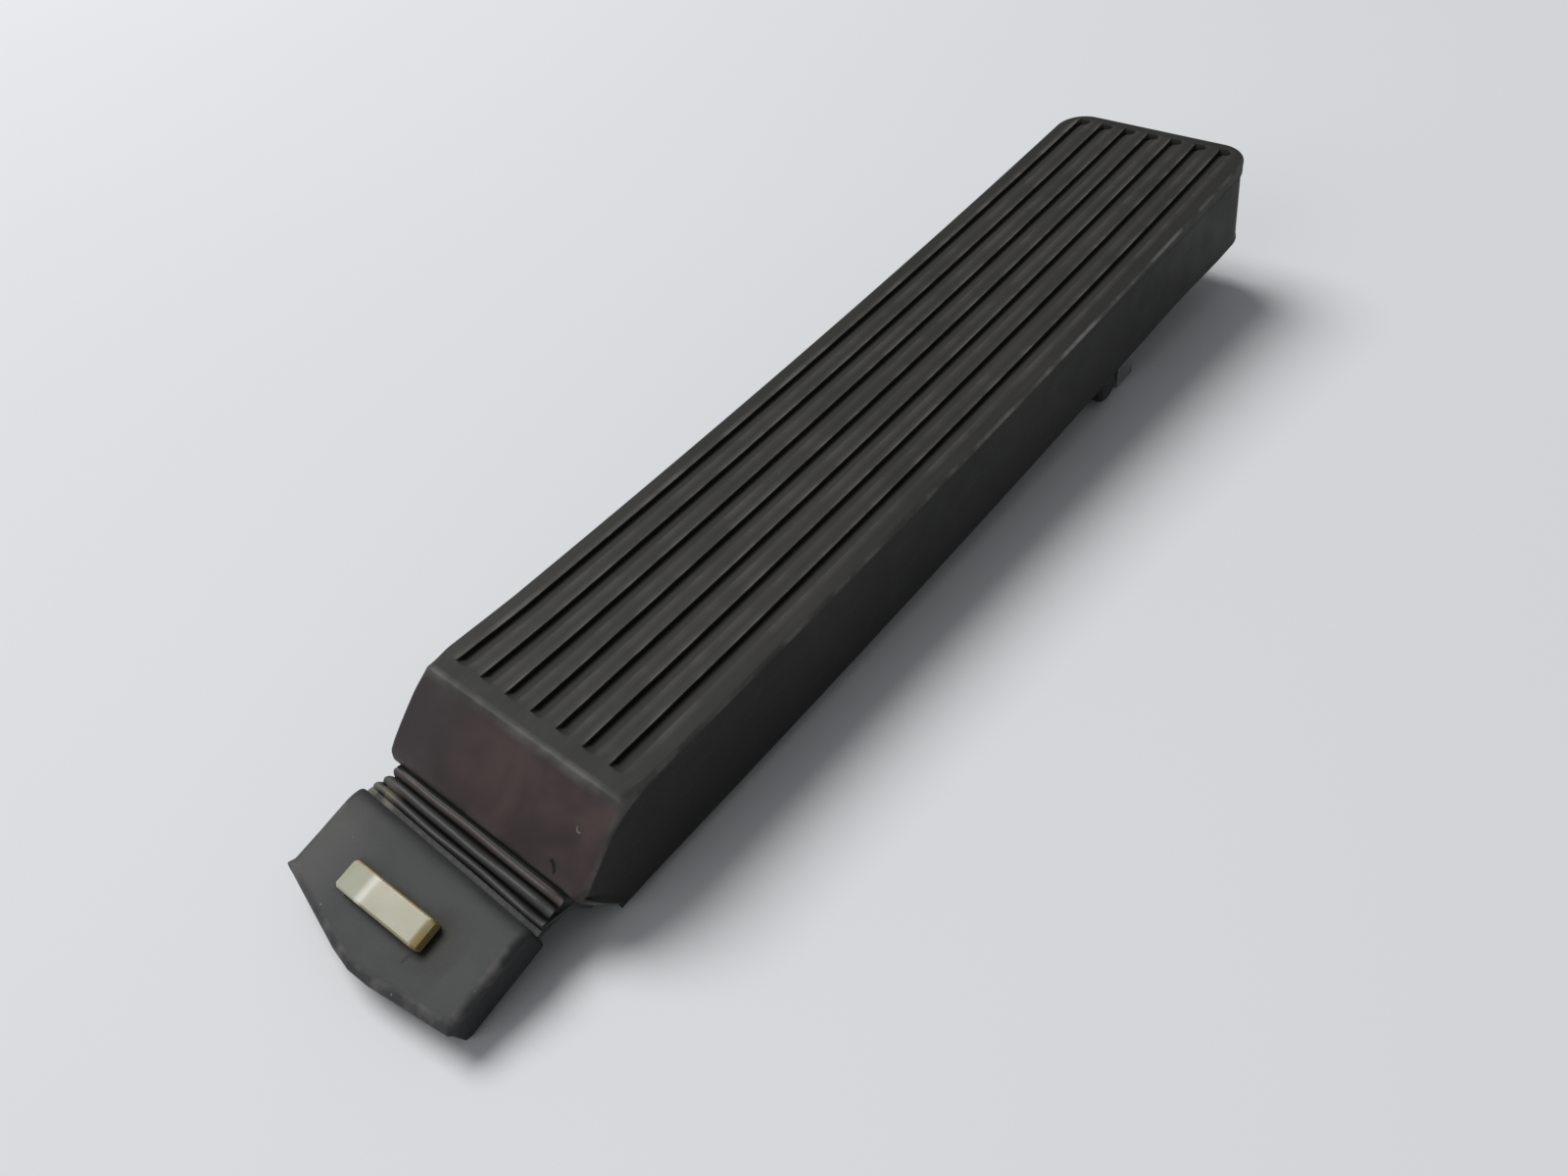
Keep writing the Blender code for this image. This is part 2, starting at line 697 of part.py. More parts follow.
def make_roller(axle):
    """Hub and tyre turn on the pin; washers and cap stay with the bracket."""
    half = ROLLER_WIDTH / 2
    bore = PIN_RADIUS + 0.0003
    hub = turned("roller_hub", [(bore, half), (HUB_RADIUS, half), (HUB_RADIUS, -half), (bore, -half)], 32, True)
    finish(along_x(hub), ROLLER_NYLON, axle)
    inner = HUB_RADIUS + GAP
    tyre_half = half - 0.0004
    shoulder = 0.0011
    profile = [
        (inner, tyre_half),
        (ROLLER_RADIUS - shoulder, tyre_half),
        (ROLLER_RADIUS - 0.0003, tyre_half - 0.0005),
        (ROLLER_RADIUS, tyre_half - shoulder),
        (ROLLER_RADIUS, shoulder - tyre_half),
        (ROLLER_RADIUS - 0.0003, 0.0005 - tyre_half),
        (ROLLER_RADIUS - shoulder, -tyre_half),
        (inner, -tyre_half),
    ]
    finish(along_x(turned("roller_tyre", profile, 36, True)), ROLLER_RUBBER, axle)


def make_pin_set(axle):
    reach = BRACKET_HALF
    head_x = -reach - GAP
    head = 0.0014
    cap_x = reach + GAP
    cap_length = 0.0024
    pin_end = cap_x + cap_length - 0.0008
    pin_profile = [
        (0.0, pin_end),
        (PIN_RADIUS - 0.0004, pin_end),
        (PIN_RADIUS, pin_end - 0.0004),
        (PIN_RADIUS, head_x),
        (PIN_RADIUS + 0.0014, head_x),
        (PIN_RADIUS + 0.0014, head_x - head + 0.0004),
        (PIN_RADIUS + 0.0009, head_x - head),
        (0.0, head_x - head),
    ]
    finish(along_x(turned("roller_pin", pin_profile)), ZINC_STEEL, axle)
    gap_middle = (ROLLER_WIDTH / 2 + BRACKET_HALF - BRACKET_SHEET) / 2
    washer_half = 0.0003
    bore = PIN_RADIUS + 0.0003
    rim = PIN_RADIUS + 0.0021
    ring = [(bore, washer_half), (rim, washer_half), (rim, -washer_half), (bore, -washer_half)]
    for name, x in (("washer_inner", -gap_middle), ("washer_outer", gap_middle)):
        finish(along_x(turned(name, ring, 28, True), x), ZINC_STEEL, axle)
    cap_radius = 0.0039
    cap_profile = [
        (0.0, cap_x + cap_length),
        (cap_radius - 0.0012, cap_x + cap_length),
        (cap_radius - 0.0003, cap_x + cap_length - 0.0006),
        (cap_radius, cap_x + cap_length - 0.0013),
        (cap_radius, cap_x),
        (PIN_RADIUS + 0.0003, cap_x),
        (PIN_RADIUS + 0.0003, pin_end + 0.0003),
        (0.0, pin_end + 0.0003),
    ]
    finish(along_x(turned("pin_cap", cap_profile)), ROLLER_RUBBER, axle)


def main():
    datum = empty("floor_datum", None, (0.0, DATUM_Y, 0.0))
    hinge = empty("pedal_hinge", datum, (0.0, HINGE_Y, HINGE_Z))
    pad = empty("pad_datum", hinge, (0.0, -HINGE_Y, PAD_EDGE_HEIGHT - HINGE_Z), PAD_RISE)
    axle_z = (ROLLER_RADIUS - PAD_EDGE_HEIGHT - ROLLER_Y * sin(PAD_RISE)) / cos(PAD_RISE)
    axle = empty("roller_axle", pad, (ROLLER_X, ROLLER_Y, axle_z))

    foot = empty("foot_datum", datum, (FOOT_X, FOOT_Y, 0.0), FOOT_PITCH)
    make_foot_block(foot)
    make_foot_insert(foot)
    make_retaining_clip(foot)
    make_hinge_bellows(datum)

    make_pad_cover(pad)
    make_core_frame(pad)
    make_hinge_clamp(pad)
    make_hinge_screws(pad)
    make_linkage_bracket(pad, axle_z)
    make_bracket_screws(pad)

    make_roller(axle)
    make_pin_set(axle)


main()
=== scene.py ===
"""Looks of a floor-hinged pedal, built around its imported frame.

Lengths are in metres. The pad's pieces are built in the pad's own frame: its origin is the middle of
the part's near top edge, +Y runs up the pad and the frame is tilted by PAD_RISE. The foot's pieces
are built in the foot's own frame, which starts at its lower front and is tilted by FOOT_PITCH.
"""

import json
from dataclasses import dataclass
from math import atan2, copysign, cos, exp, hypot, pi, radians, sin, sqrt, tan

import bmesh
import bpy
from mathutils import Euler, Matrix, Vector, noise


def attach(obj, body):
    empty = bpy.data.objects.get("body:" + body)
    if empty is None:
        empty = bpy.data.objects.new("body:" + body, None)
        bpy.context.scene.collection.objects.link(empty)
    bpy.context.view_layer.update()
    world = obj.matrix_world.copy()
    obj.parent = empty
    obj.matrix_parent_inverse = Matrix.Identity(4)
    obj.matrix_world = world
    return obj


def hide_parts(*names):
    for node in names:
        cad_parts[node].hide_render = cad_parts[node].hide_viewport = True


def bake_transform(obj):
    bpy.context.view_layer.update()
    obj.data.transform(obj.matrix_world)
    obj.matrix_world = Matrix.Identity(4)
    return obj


# The part's driving dimensions, which the pieces here follow
PAD_HALF = 0.0250
PAD_LENGTH = 0.2248
PAD_DEPTH = 0.0216
PAD_BOW = 0.0021
PAD_RISE = radians(3.26)
PAD_EDGE_HEIGHT = 0.0237
NOSE_TIP = Vector((-0.0150, -0.0111))
NOSE_HEEL = Vector((-0.0083, -0.0205))
FAR_CORNER = 0.0075
SKIN_WALL = 0.0024
SKIN_TOP = 0.0034
LIP_WIDTH = 0.0013
LIP_THICK = 0.0014
RIB_COUNT = 8
RIB_PITCH = 0.0064
GROOVE_DEPTH = 0.0010
GROOVE_FAR = 0.0030

FOOT_PITCH = radians(13.2)
FOOT_X = -0.0012
FOOT_Y = -0.0373
FOOT_HALF = 0.0229
FOOT_LENGTH = 0.0183
FOOT_POINT = 0.0041
FOOT_THICK = 0.0079
FOOT_TAPER = 0.0009
RECESS_HALF = Vector((0.0170, 0.0055))
RECESS_Y = 0.0076
RECESS_DEPTH = 0.0053

CLIP = Vector((-0.0008, 0.0071))
CLIP_HALF = Vector((0.0105, 0.0027))
CLIP_RISE = 0.0026
SHANK_HALF = Vector((0.0058, 0.0013))

HINGE_Y = -0.0178
BELLOWS_HALF = 0.0218
CONTACT = 0.0004
TONGUE_THICK = 0.0016
CLAMP_START = 0.0042
CLAMP_END = 0.0094

GAP = 0.0003

# Finer dimensions of the looks; the part has its ridge at 0.0 and its grooves start at 0.0030
RIDGE = Vector((-0.0012, 0.0))
GROOVE_NEAR = 0.0035
TIP_ROUND = 0.0018
EDGE_ROUND = 0.0009
RIM_ROUND = 0.0008
NOSE_RIM_ROUND = 0.0013
NOSE_CORNER = 0.0030
NEAR_EDGE_SOFT = 0.0011
# Where the painted highlight along the pad's right top edge is brightest, and how far it reaches
SHINE_Y = 0.1500
SHINE_REACH = 0.0450
GROOVE_FIELD = 0.0212
# Samples across one groove: offset, share of the groove's depth, and how much painted shade darkens it
GROOVE_PROFILE = (
    (-0.00172, 0.0, 0.0),
    (-0.00163, 0.06, 0.3),
    (-0.00156, 0.32, 1.0),
    (-0.00146, 0.76, 1.0),
    (-0.00134, 0.96, 1.0),
    (-0.00112, 1.0, 1.0),
    (-0.00080, 0.94, 0.95),
    (-0.00050, 0.66, 0.4),
    (0.00000, 0.44, 0.05),
    (0.00060, 0.27, 0.0),
    (0.00110, 0.13, 0.0),
    (0.00145, 0.04, 0.0),
    (0.00172, 0.0, 0.0),
)
WALL_STEP = 0.00032
WALL_WAVE = 0.00006
WAVE_FADE = 0.004
LIP_START = 0.1450
LIP_NEAR = 0.0006
LIP_FAR = 0.0026
FLARE = 0.0010
FLARE_START = 0.1850
PIT_DEPTH = 1.5
ROOT = 0.0003
FOLDS = ((0.17, 0.41, 0.85), (0.41, 0.72, 1.0), (0.72, 1.0, 0.62))
FOLD_HEIGHT = 0.0018
FOLD_STEPS = 12
VALLEY_DROP = 0.0012
FOOT_EDGE = ((0.0014, 0.00005), (0.0009, 0.00018), (0.0005, 0.00042), (0.0002, 0.0008), (0.00003, 0.0014))
BACK_ROLL = 0.0036
BACK_DROP = 0.0010
HARD_EDGE = 32

# Marks in the rubber, each from one place to another
NOSE_CUT = (Vector((0.0163, -0.0128)), Vector((0.0180, -0.0141)))
NOSE_SCRATCH = (Vector((0.0185, -0.0074)), Vector((0.0196, -0.0079)))
FOOT_CUT = (CLIP + Vector((0.0098, -0.0027)), CLIP + Vector((0.0088, -0.0053)))

# How far the rubber lies askew: along the pad per metre across it, more from nose to foot
SKEW = 0.034
HINGE_SKEW = 0.016
FRONT_SKEW = 0.035
SKEW_REACH = 0.055
LEFT_SPREAD = 0.0007

# The studio, and the camera as seen from the datum
FLOOR_HALF = 12.0
FLOOR_FADE = (0.7, 2.2)
WALL_TONE = (0.58, 0.592, 0.605)
KEY_PLACE = (-1.7, -0.1, 2.6)
FILL_PLACE = (-0.4, -2.4, 1.3)
CAMERA_PLACE = Vector((0.12807, -0.07016, 0.17893))
CAMERA_TURN = (46.454, 4.938, 38.487)
CAMERA_LENS = 28.82

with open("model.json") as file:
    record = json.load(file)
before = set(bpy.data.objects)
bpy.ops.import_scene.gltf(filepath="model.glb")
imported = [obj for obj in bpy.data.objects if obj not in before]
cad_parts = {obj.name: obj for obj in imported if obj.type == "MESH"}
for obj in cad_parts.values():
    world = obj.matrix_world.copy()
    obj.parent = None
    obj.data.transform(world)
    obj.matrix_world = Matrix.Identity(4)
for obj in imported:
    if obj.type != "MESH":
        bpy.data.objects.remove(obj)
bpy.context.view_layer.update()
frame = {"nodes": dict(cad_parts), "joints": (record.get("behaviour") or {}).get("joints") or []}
hinge_place = next(j for j in frame["joints"] if j["name"] == "pedal_hinge")["pos_m"]
DATUM_Y = hinge_place[1] - HINGE_Y

LEVEL_FRAME = Matrix.Translation((0.0, DATUM_Y, 0.0))
PAD_FRAME = Matrix.Translation((0.0, DATUM_Y, PAD_EDGE_HEIGHT)) @ Matrix.Rotation(PAD_RISE, 4, "X")
FOOT_FRAME = Matrix.Translation((FOOT_X, DATUM_Y + FOOT_Y, 0.0)) @ Matrix.Rotation(FOOT_PITCH, 4, "X")

HEEL_UP = (NOSE_TIP - NOSE_HEEL).normalized()
HEEL_OUT = Vector((-HEEL_UP.y, HEEL_UP.x))
CHAMFER_UP = (RIDGE - NOSE_TIP).normalized()
CHAMFER_OUT = Vector((-CHAMFER_UP.y, CHAMFER_UP.x))


# ---------------------------------------------------------------- shapes

def smooth(share):
    share = min(max(share, 0.0), 1.0)
    return share * share * (3 - 2 * share)


def near(point, place, reach):
    """1 at the place, falling smoothly to almost 0 at twice the reach."""
    return exp(-(((point - place).length / reach) ** 2))


def bow(y):
    """How far the pad's middle sags below the line through its two ends."""
    along = max(y, 0.0) / PAD_LENGTH
    return PAD_BOW * ((2 * along - 1) ** 2 - 1)


def ripple(x, y, z, size, seed=0.0):
    """Smooth noise between about -1 and 1 whose bumps are about as wide as size."""
    return noise.noise(Vector((x, y, z + seed)) / size)


def meet(point_a, direction_a, point_b, direction_b):
    """Where two lines of a side view cross."""
    cross = direction_a.x * direction_b.y - direction_a.y * direction_b.x
    offset = point_b - point_a
    return point_a + direction_a * ((offset.x * direction_b.y - offset.y * direction_b.x) / cross)


def round_corner(before, corner, after, radius, steps):
    """Points round a corner of a path, each with the direction to the path's left."""
    into = (corner - before).normalized()
    away = (after - corner).normalized()
    turn = atan2(into.x * away.y - into.y * away.x, into.dot(away))
    start = corner - into * radius * tan(abs(turn) / 2)
    left = Vector((-into.y, into.x))
    side = copysign(1.0, turn)
    centre = start + left * side * radius
    made = []
    for i in range(steps + 1):
        angle = turn * i / steps
        spoke = Matrix.Rotation(angle, 2) @ left
        made.append((centre - spoke * side * radius, spoke))
    return made


def new_object(name, data):
    made = bpy.data.objects.new(name, data)
    bpy.context.scene.collection.objects.link(made)
    return made


def shade(mesh, sharp):
    """Smooth shading, with edges sharper than the angle in degrees kept crisp."""
    mesh.shade_smooth()
    mesh.set_sharp_from_angle(angle=radians(sharp))


def piece_from(name, verts, faces, place, sharp=40):
    """A new object from a closed mesh, with its faces turned outwards and its shading set."""
    mesh = bpy.data.meshes.new(name)
    mesh.from_pydata([tuple(v) for v in verts], [], faces)
    body = bmesh.new()
    body.from_mesh(mesh)
    bmesh.ops.recalc_face_normals(body, faces=body.faces)
    body.to_mesh(mesh)
    body.free()
    shade(mesh, sharp)
    piece = new_object(name, mesh)
    piece.matrix_world = place
    return piece


def strip_faces(first, second, closed=True):
    """Quads between two runs of vertex numbers of the same length."""
    count = len(first)
    last = count if closed else count - 1
    return [(first[i], first[(i + 1) % count], second[(i + 1) % count], second[i]) for i in range(last)]


def loft_faces(rings):
    """Faces round a run of rings, with one more over each end."""
    faces = []
    for first, second in zip(rings, rings[1:]):
        faces.extend(strip_faces(first, second))
    return [*faces, tuple(rings[0]), tuple(reversed(rings[-1]))]


def store(piece, name, values):
    """A number for each vertex, which the piece's material reads."""
    attribute = piece.data.attributes.new(name, "FLOAT", "POINT")
    attribute.data.foreach_set("value", values)


def apply_modifiers(piece):
    graph = bpy.context.evaluated_depsgraph_get()
    mesh = bpy.data.meshes.new_from_object(piece.evaluated_get(graph), depsgraph=graph)
    piece.modifiers.clear()
    piece.data = mesh
    return piece


def askew(piece):
    """Shears a soft piece round the hinge, where the moulding lies a little askew on its core."""
    back = piece.matrix_world.inverted()
    for vertex in piece.data.vertices:
        place = piece.matrix_world @ vertex.co
        y = place.y - DATUM_Y
        turn = SKEW * smooth(1 - y / SKEW_REACH)
        turn += HINGE_SKEW * smooth((-0.014 - y) / 0.005) + FRONT_SKEW * smooth((-0.022 - y) / 0.012)
        place.y -= turn * place.x
        place.x -= LEFT_SPREAD * smooth(-place.x / PAD_HALF) * smooth(1 - y / 0.02)
        vertex.co = back @ place
    return piece


def even_shading(piece):
    step = piece.modifiers.new("even_shading", "WEIGHTED_NORMAL")
    step.keep_sharp = True
    return apply_modifiers(piece)


# ---------------------------------------------------------------- pad cover

@dataclass
class Station:
    """One row across the pad: its place and outward direction in the side view, its half width,
    the radius of its ends, how much its edge is worn lighter with a painted highlight, and how faded it is."""

    point: Vector
    out: Vector
    half: float
    rim: float
    on_top: bool = False
    worn_and_highlit: float = 0.0
    faded: float = 0.0


def soft_edge(away):
    """What the radius of the pad's side edges gains near the near corners."""
    return NEAR_EDGE_SOFT * exp(-((away / 0.0032) ** 2))


def nose_stations(inset, top):
    """Rows up the heel face, round the tip, up the sloping nose and round the near top edge."""
    level = Vector((1.0, -4 * PAD_BOW / PAD_LENGTH)).normalized()
    heel_line = NOSE_TIP - HEEL_OUT * inset
    nose_line = RIDGE - CHAMFER_OUT * inset
    heel = meet(heel_line, HEEL_UP, Vector((0.0, -PAD_DEPTH + RIM_ROUND)), Vector((1.0, 0.0)))
    tip = meet(heel_line, HEEL_UP, nose_line, CHAMFER_UP)
    edge = meet(nose_line, CHAMFER_UP, Vector((0.0, -top)), level)
    hollow = inset > 0
    tip_arc = round_corner(heel, tip, edge, 0.0004 if hollow else TIP_ROUND, 9)
    edge_arc = round_corner(tip, edge, edge + level, 0.0004 if hollow else EDGE_ROUND, 7)
    rows = [(heel + (tip_arc[0][0] - heel) * i / 5, HEEL_OUT) for i in range(5)]
    rows += tip_arc
    rows += [(tip_arc[-1][0].lerp(edge_arc[0][0], i / 10), CHAMFER_OUT) for i in range(1, 10)]
    rows += edge_arc
    made = []
    for point, out in rows:
        rim = RIM_ROUND + (NOSE_RIM_ROUND - RIM_ROUND) * near(point, tip, 0.0045)
        rim += soft_edge((point - edge).length)
        reach = max(1 - (point - tip).length / NOSE_CORNER, 0.0)
        corner = 0.0 if hollow else 0.55 * NOSE_CORNER * (1 - sqrt(1 - reach**2))
        # The near edge and the tip are worn lighter and carry a painted highlight
        worn_and_highlit = 0.55 * near(point, edge, 0.0008) + 0.5 * near(point, tip, 0.0012)
        faded = 0.0 if hollow else smooth((edge - point).length / 0.0016 - 0.3)
        made.append(Station(point, out, PAD_HALF - inset - corner, rim, False, worn_and_highlit, faded))
    return made


def top_stations(start, inset, top):
    """Rows along the pad's top, closer together where the grooves end and round the far corners."""
    radius = FAR_CORNER - inset
    far = PAD_LENGTH - inset
    near_rows = (0.0018, 0.0026, 0.0034, 0.0039, 0.0042, 0.0045, 0.0049, 0.0060)
    straight_end = PAD_LENGTH - FAR_CORNER
    count = 28
    last = near_rows[-1]
    long_rows = [last + (straight_end - last) * i / count for i in range(1, count)]
    turns = (0, 9, 17, 23, 27.5, 31, 34, 36.5, 39, 41.5, 45, 50, 56, 62, 68, 74, 79, 84.5, 90)
    squeeze = (far - radius - start) / (straight_end - EDGE_ROUND)
    flat = PAD_HALF - inset
    rows = [(start + (y - EDGE_ROUND) * squeeze, flat) for y in (*near_rows, *long_rows)]
    for turn in turns:
        y = far - radius + radius * sin(radians(turn))
        rows.append((y, flat - radius * (1 - cos(radians(turn)))))
    up = Vector((0.0, 1.0))
    return [Station(Vector((y, bow(y) - top)), up, half, RIM_ROUND + soft_edge(y), True) for y, half in rows]


def columns():
    """Places across the pad with each one's share of the groove's depth, its wear with painted highlight and
    its painted shade.
    """
    made = []
    last = len(GROOVE_PROFILE) - 1
    for groove in range(1, RIB_COUNT):
        middle = (groove - RIB_COUNT / 2) * RIB_PITCH
        if groove > 1:
            made.append((middle - RIB_PITCH / 2, 0.0, 0.0, 0.0))
            made.append((middle - RIB_PITCH * 0.34, 0.0, 0.15, 0.0))
        for i, (offset, depth, painted_shade) in enumerate(GROOVE_PROFILE):
            # Each rib's edge beside a groove is worn lighter with a painted highlight
            worn_and_highlit = 0.6 if i <= 1 else 0.2 if i >= last - 1 else 0.0
            made.append((middle + offset, depth, worn_and_highlit, painted_shade))
    border = [(0.0222, 0.0, 0.0, 0.0), (0.0233, 0.0, 0.0, 0.0)]
    return [(-x, *rest) for x, *rest in reversed(border)] + made + border


def rim_distance(x, station, inset):
    """How far a point of the top is from the outline, looking from above."""
    radius = FAR_CORNER - inset
    centre_x = PAD_HALF - inset - radius
    centre_y = PAD_LENGTH - inset - radius
    y = station.point.x
    if not station.on_top or y <= centre_y:
        return station.half - abs(x)
    if abs(x) <= centre_x:
        return PAD_LENGTH - inset - y
    return max(radius - hypot(abs(x) - centre_x, y - centre_y), 0.0)


def groove_end(y):
    """1 along a groove, falling to 0 at both of its ends."""
    near = smooth((y - GROOVE_NEAR + 0.0006) / 0.0007)
    far = smooth((PAD_LENGTH - GROOVE_FAR + 0.0002 - y) / 0.0006)
    return near * far


def place_across(nominal, station):
    """Where a column lies in a row: straight along the grooves, drawn in beyond them."""
    limit = station.half - station.rim
    full = PAD_HALF - RIM_ROUND
    field = GROOVE_FIELD
    if station.on_top and station.point.x > PAD_LENGTH - GROOVE_FAR:
        reach = FAR_CORNER - GROOVE_FAR
        width_there = PAD_HALF - FAR_CORNER + sqrt(FAR_CORNER**2 - reach**2) - RIM_ROUND
        field *= limit / width_there
    field = min(field, limit * 0.92)
    size = abs(nominal)
    if size <= GROOVE_FIELD:
        return copysign(size * field / GROOVE_FIELD, nominal)
    share = (size - GROOVE_FIELD) / (full - GROOVE_FIELD)
    return copysign(field + (limit - field) * share, nominal)


def pad_sheet(inset, top, grooved):
    """The rows of points over the nose and the top, with each point's painted shade, its wear with painted
    highlight and its fading.
    """
    stations = nose_stations(inset, top)
    stations += top_stations(stations[-1].point.x, inset, top)
    inner = columns()
    rim_steps = 6
    rows = []
    for station in stations:
        spots = [(place_across(x, station), *rest) for x, *rest in inner]
        rim = [station.half - station.rim * (1 - sin(pi / 2 * i / rim_steps)) for i in range(rim_steps + 1)]
        plain = [(x, 0.0, 0.0, 0.0) for x in rim]
        spots = [(-x, *rest) for x, *rest in reversed(plain)] + spots + plain
        y = station.point.x
        along = groove_end(y) if station.on_top and grooved else 0.0
        pit = smooth((y - PAD_LENGTH + GROOVE_FAR + 0.0016) / 0.0008) if grooved else 0.0
        # A painted highlight along the right top edge, brightest at SHINE_Y
        shine = 1.3 * exp(-(((y - SHINE_Y) / SHINE_REACH) ** 2))
        row = []
        for x, depth, worn_and_highlit, painted_shade in spots:
            reach = station.rim - min(rim_distance(x, station, inset), station.rim)
            drop = station.rim - sqrt(max(station.rim**2 - reach**2, 0.0))
            bend = drop / station.rim
            rub = 4 * bend * (1 - bend)
            # Lighter edges, partly wear and partly painted highlight: the rib edges, the rounded rims and
            # the nose's edge
            wear_and_highlight = max(worn_and_highlit * along, (0.8 + shine if x > 0 else 0.8) * rub, station.worn_and_highlit)
            # The far-end pits are deepened and darkened with painted shade
            depth += (PIT_DEPTH - depth) * pit * smooth(depth / 0.12)
            painted_shade = max(painted_shade, pit * smooth(depth / 0.3)) * along
            point = station.point - station.out * (drop + depth * along * GROOVE_DEPTH)
            row.append((Vector((x, point.x, point.y)), painted_shade, wear_and_highlight, station.faded * (1 - smooth(bend * 2))))
        rows.append(row)
    return stations, rows


def around(rows, columns_count):
    """The sheet's outline as (row, column) pairs: near edge, right side, far edge, left side."""
    last = columns_count - 1
    end = rows - 1
    near = [(0, c) for c in range(columns_count)]
    right = [(r, last) for r in range(1, rows)]
    far = [(end, c) for c in range(last - 1, -1, -1)]
    left = [(r, 0) for r in range(end - 1, 0, -1)]
    return near + right + far + left


def base_point(row, stations, x, inset, height):
    """A point of the pad's lower rim below or beside a point of the sheet's outline."""
    heel_y = stations[0].point.x
    top_row = next(i for i, s in enumerate(stations) if s.on_top) + 3

    def rim(x, y):
        return Vector((x, y, bow(y) - PAD_DEPTH + height))

    if row == 0:
        return rim(x * (PAD_HALF - inset) / PAD_HALF, heel_y + inset)
    if row == len(stations) - 1:
        flat = PAD_HALF - FAR_CORNER
        return rim(min(max(x, -flat), flat), PAD_LENGTH - inset)
    y = stations[row].point.x
    if row < top_row:
        y = heel_y + (stations[top_row].point.x - heel_y) * row / top_row
    straight = PAD_LENGTH - FAR_CORNER
    if y <= straight:
        share = (y - heel_y) / (straight - heel_y)
        return rim(copysign(PAD_HALF - inset, x), heel_y + inset + (straight - heel_y - inset) * share)
    spoke = Vector((stations[row].half - PAD_HALF + FAR_CORNER, y - straight))
    spoke = spoke.normalized() * (FAR_CORNER - inset)
    return rim(copysign(PAD_HALF - FAR_CORNER + spoke.x, x), straight + spoke.y)


def outward(row, stations, x):
    """The direction out of the pad's side wall, looking from above."""
    if row == 0:
        return Vector((0.0, 0.0, 0.0))
    if row == len(stations) - 1:
        return Vector((0.0, 1.0, 0.0))
    rise = max(stations[row].point.x - (PAD_LENGTH - FAR_CORNER), 0.0)
    spread = sqrt(max(FAR_CORNER**2 - rise**2, 0.0))
    return Vector((copysign(spread, x), rise, 0.0)).normalized()


def lip_depth(y):
    """How far the top's edge reaches down the wall: hardly at all, then deeper to the far end."""
    share = (y - LIP_START) / (PAD_LENGTH - FAR_CORNER - LIP_START)
    return LIP_NEAR + (LIP_FAR - LIP_NEAR) * min(max(share, 0.0), 1.0)


def wall_ring(upper, lower, outs, share, below_lip):
    """A ring on the side wall, above or below the shallow step under the top's edge."""
    ring = []
    for high, low, out in zip(upper, lower, outs):
        height = (low - high).length
        lip = lip_depth(high.y)
        depth = lip + (height - lip) * share if below_lip else lip * share
        point = high.lerp(low, depth / height)
        step = WALL_STEP * smooth((high.y - LIP_START + 0.02) / 0.04) if below_lip else 0.0
        fade = smooth(depth / WAVE_FADE) * smooth((height - depth) / WAVE_FADE)
        wave = WALL_WAVE * (1 + ripple(point.x, point.y, point.z, 0.03) * fade)
        ring.append(point - out * (step + wave))
    return ring


def flared(ring, outs):
    """The skirt's lower edge, spread outwards a little round the pad's far end."""
    return [p + out * FLARE * smooth((p.y - FLARE_START) / 0.03) for p, out in zip(ring, outs)]


def build_pad_cover():
    stations, outer = pad_sheet(0.0, 0.0, True)
    _, inner = pad_sheet(SKIN_WALL, SKIN_TOP, False)
    rows = len(outer)
    count = len(outer[0])
    outline = around(rows, count)
    verts = [spot[0] for row in outer for spot in row]
    paints = [spot[1:] for row in outer for spot in row]
    faces = []

    def sheet_faces(start):
        for r in range(rows - 1):
            low = [start + r * count + c for c in range(count)]
            faces.extend(strip_faces(low, [v + count for v in low], closed=False))

    def add_points(points, painted_shade=0.0):
        start = len(verts)
        verts.extend(points)
        paints.extend((painted_shade * smooth((p.y - LIP_START + 0.01) / 0.03), 0.0, 0.0) for p in points)
        return start

    def base_ring(inset, height):
        return [base_point(r, stations, outer[r][c][0].x, inset, height) for r, c in outline]

    sheet_faces(0)
    ring = [r * count + c for r, c in outline]
    upper = [verts[i] for i in ring]
    outs = [outward(r, stations, outer[r][c][0].x) for r, c in outline]
    lower = flared(base_ring(0.0, 0.00035), outs)
    rings = [wall_ring(upper, lower, outs, share, False) for share in (0.35, 0.7, 0.9, 1.0)]
    below = (0.010, 0.022, 0.05, 0.12, 0.25, 0.4, 0.55, 0.7, 0.84, 0.95)
    rings += [wall_ring(upper, lower, outs, share, True) for share in below]
    # Painted shade in the shallow step under the top's edge, only towards the far end
    step_shade = [0.0, 0.0, 0.0, 0.6, 1.0, 0.7] + [0.0] * (len(rings) - 6)
    rings.append([p - o * WALL_STEP * 0.5 for p, o in zip(lower, outs)])
    rim = SKIN_WALL + LIP_WIDTH
    rings += [flared(base_ring(inset, lift), outs) for inset, lift in ((0.00022, 0.00010), (0.00045, 0.0))]
    for inset, lift in ((rim - 0.0003, 0.0), (rim - 0.0001, 0.0001), (rim, 0.0003), (rim, LIP_THICK),
                        (SKIN_WALL, LIP_THICK)):
        rings.append(base_ring(inset, lift))
    step_shade += [0.0] * (len(rings) - len(step_shade))
    for points, painted_shade in zip(rings, step_shade):
        start = add_points(points, painted_shade)
        made = list(range(start, start + len(points)))
        faces.extend(strip_faces(ring, made))
        ring = made
    start = add_points([spot[0] for row in inner for spot in row])
    sheet_faces(start)
    faces.extend(strip_faces(ring, [start + r * count + c for r, c in outline]))
    cover = piece_from("pad_cover_skin", verts, faces, PAD_FRAME, 35)
    for i, name in enumerate(("painted_shade", "wear_and_highlight", "faded")):
        store(cover, name, [paint[i] for paint in paints])
    return even_shading(askew(cover))


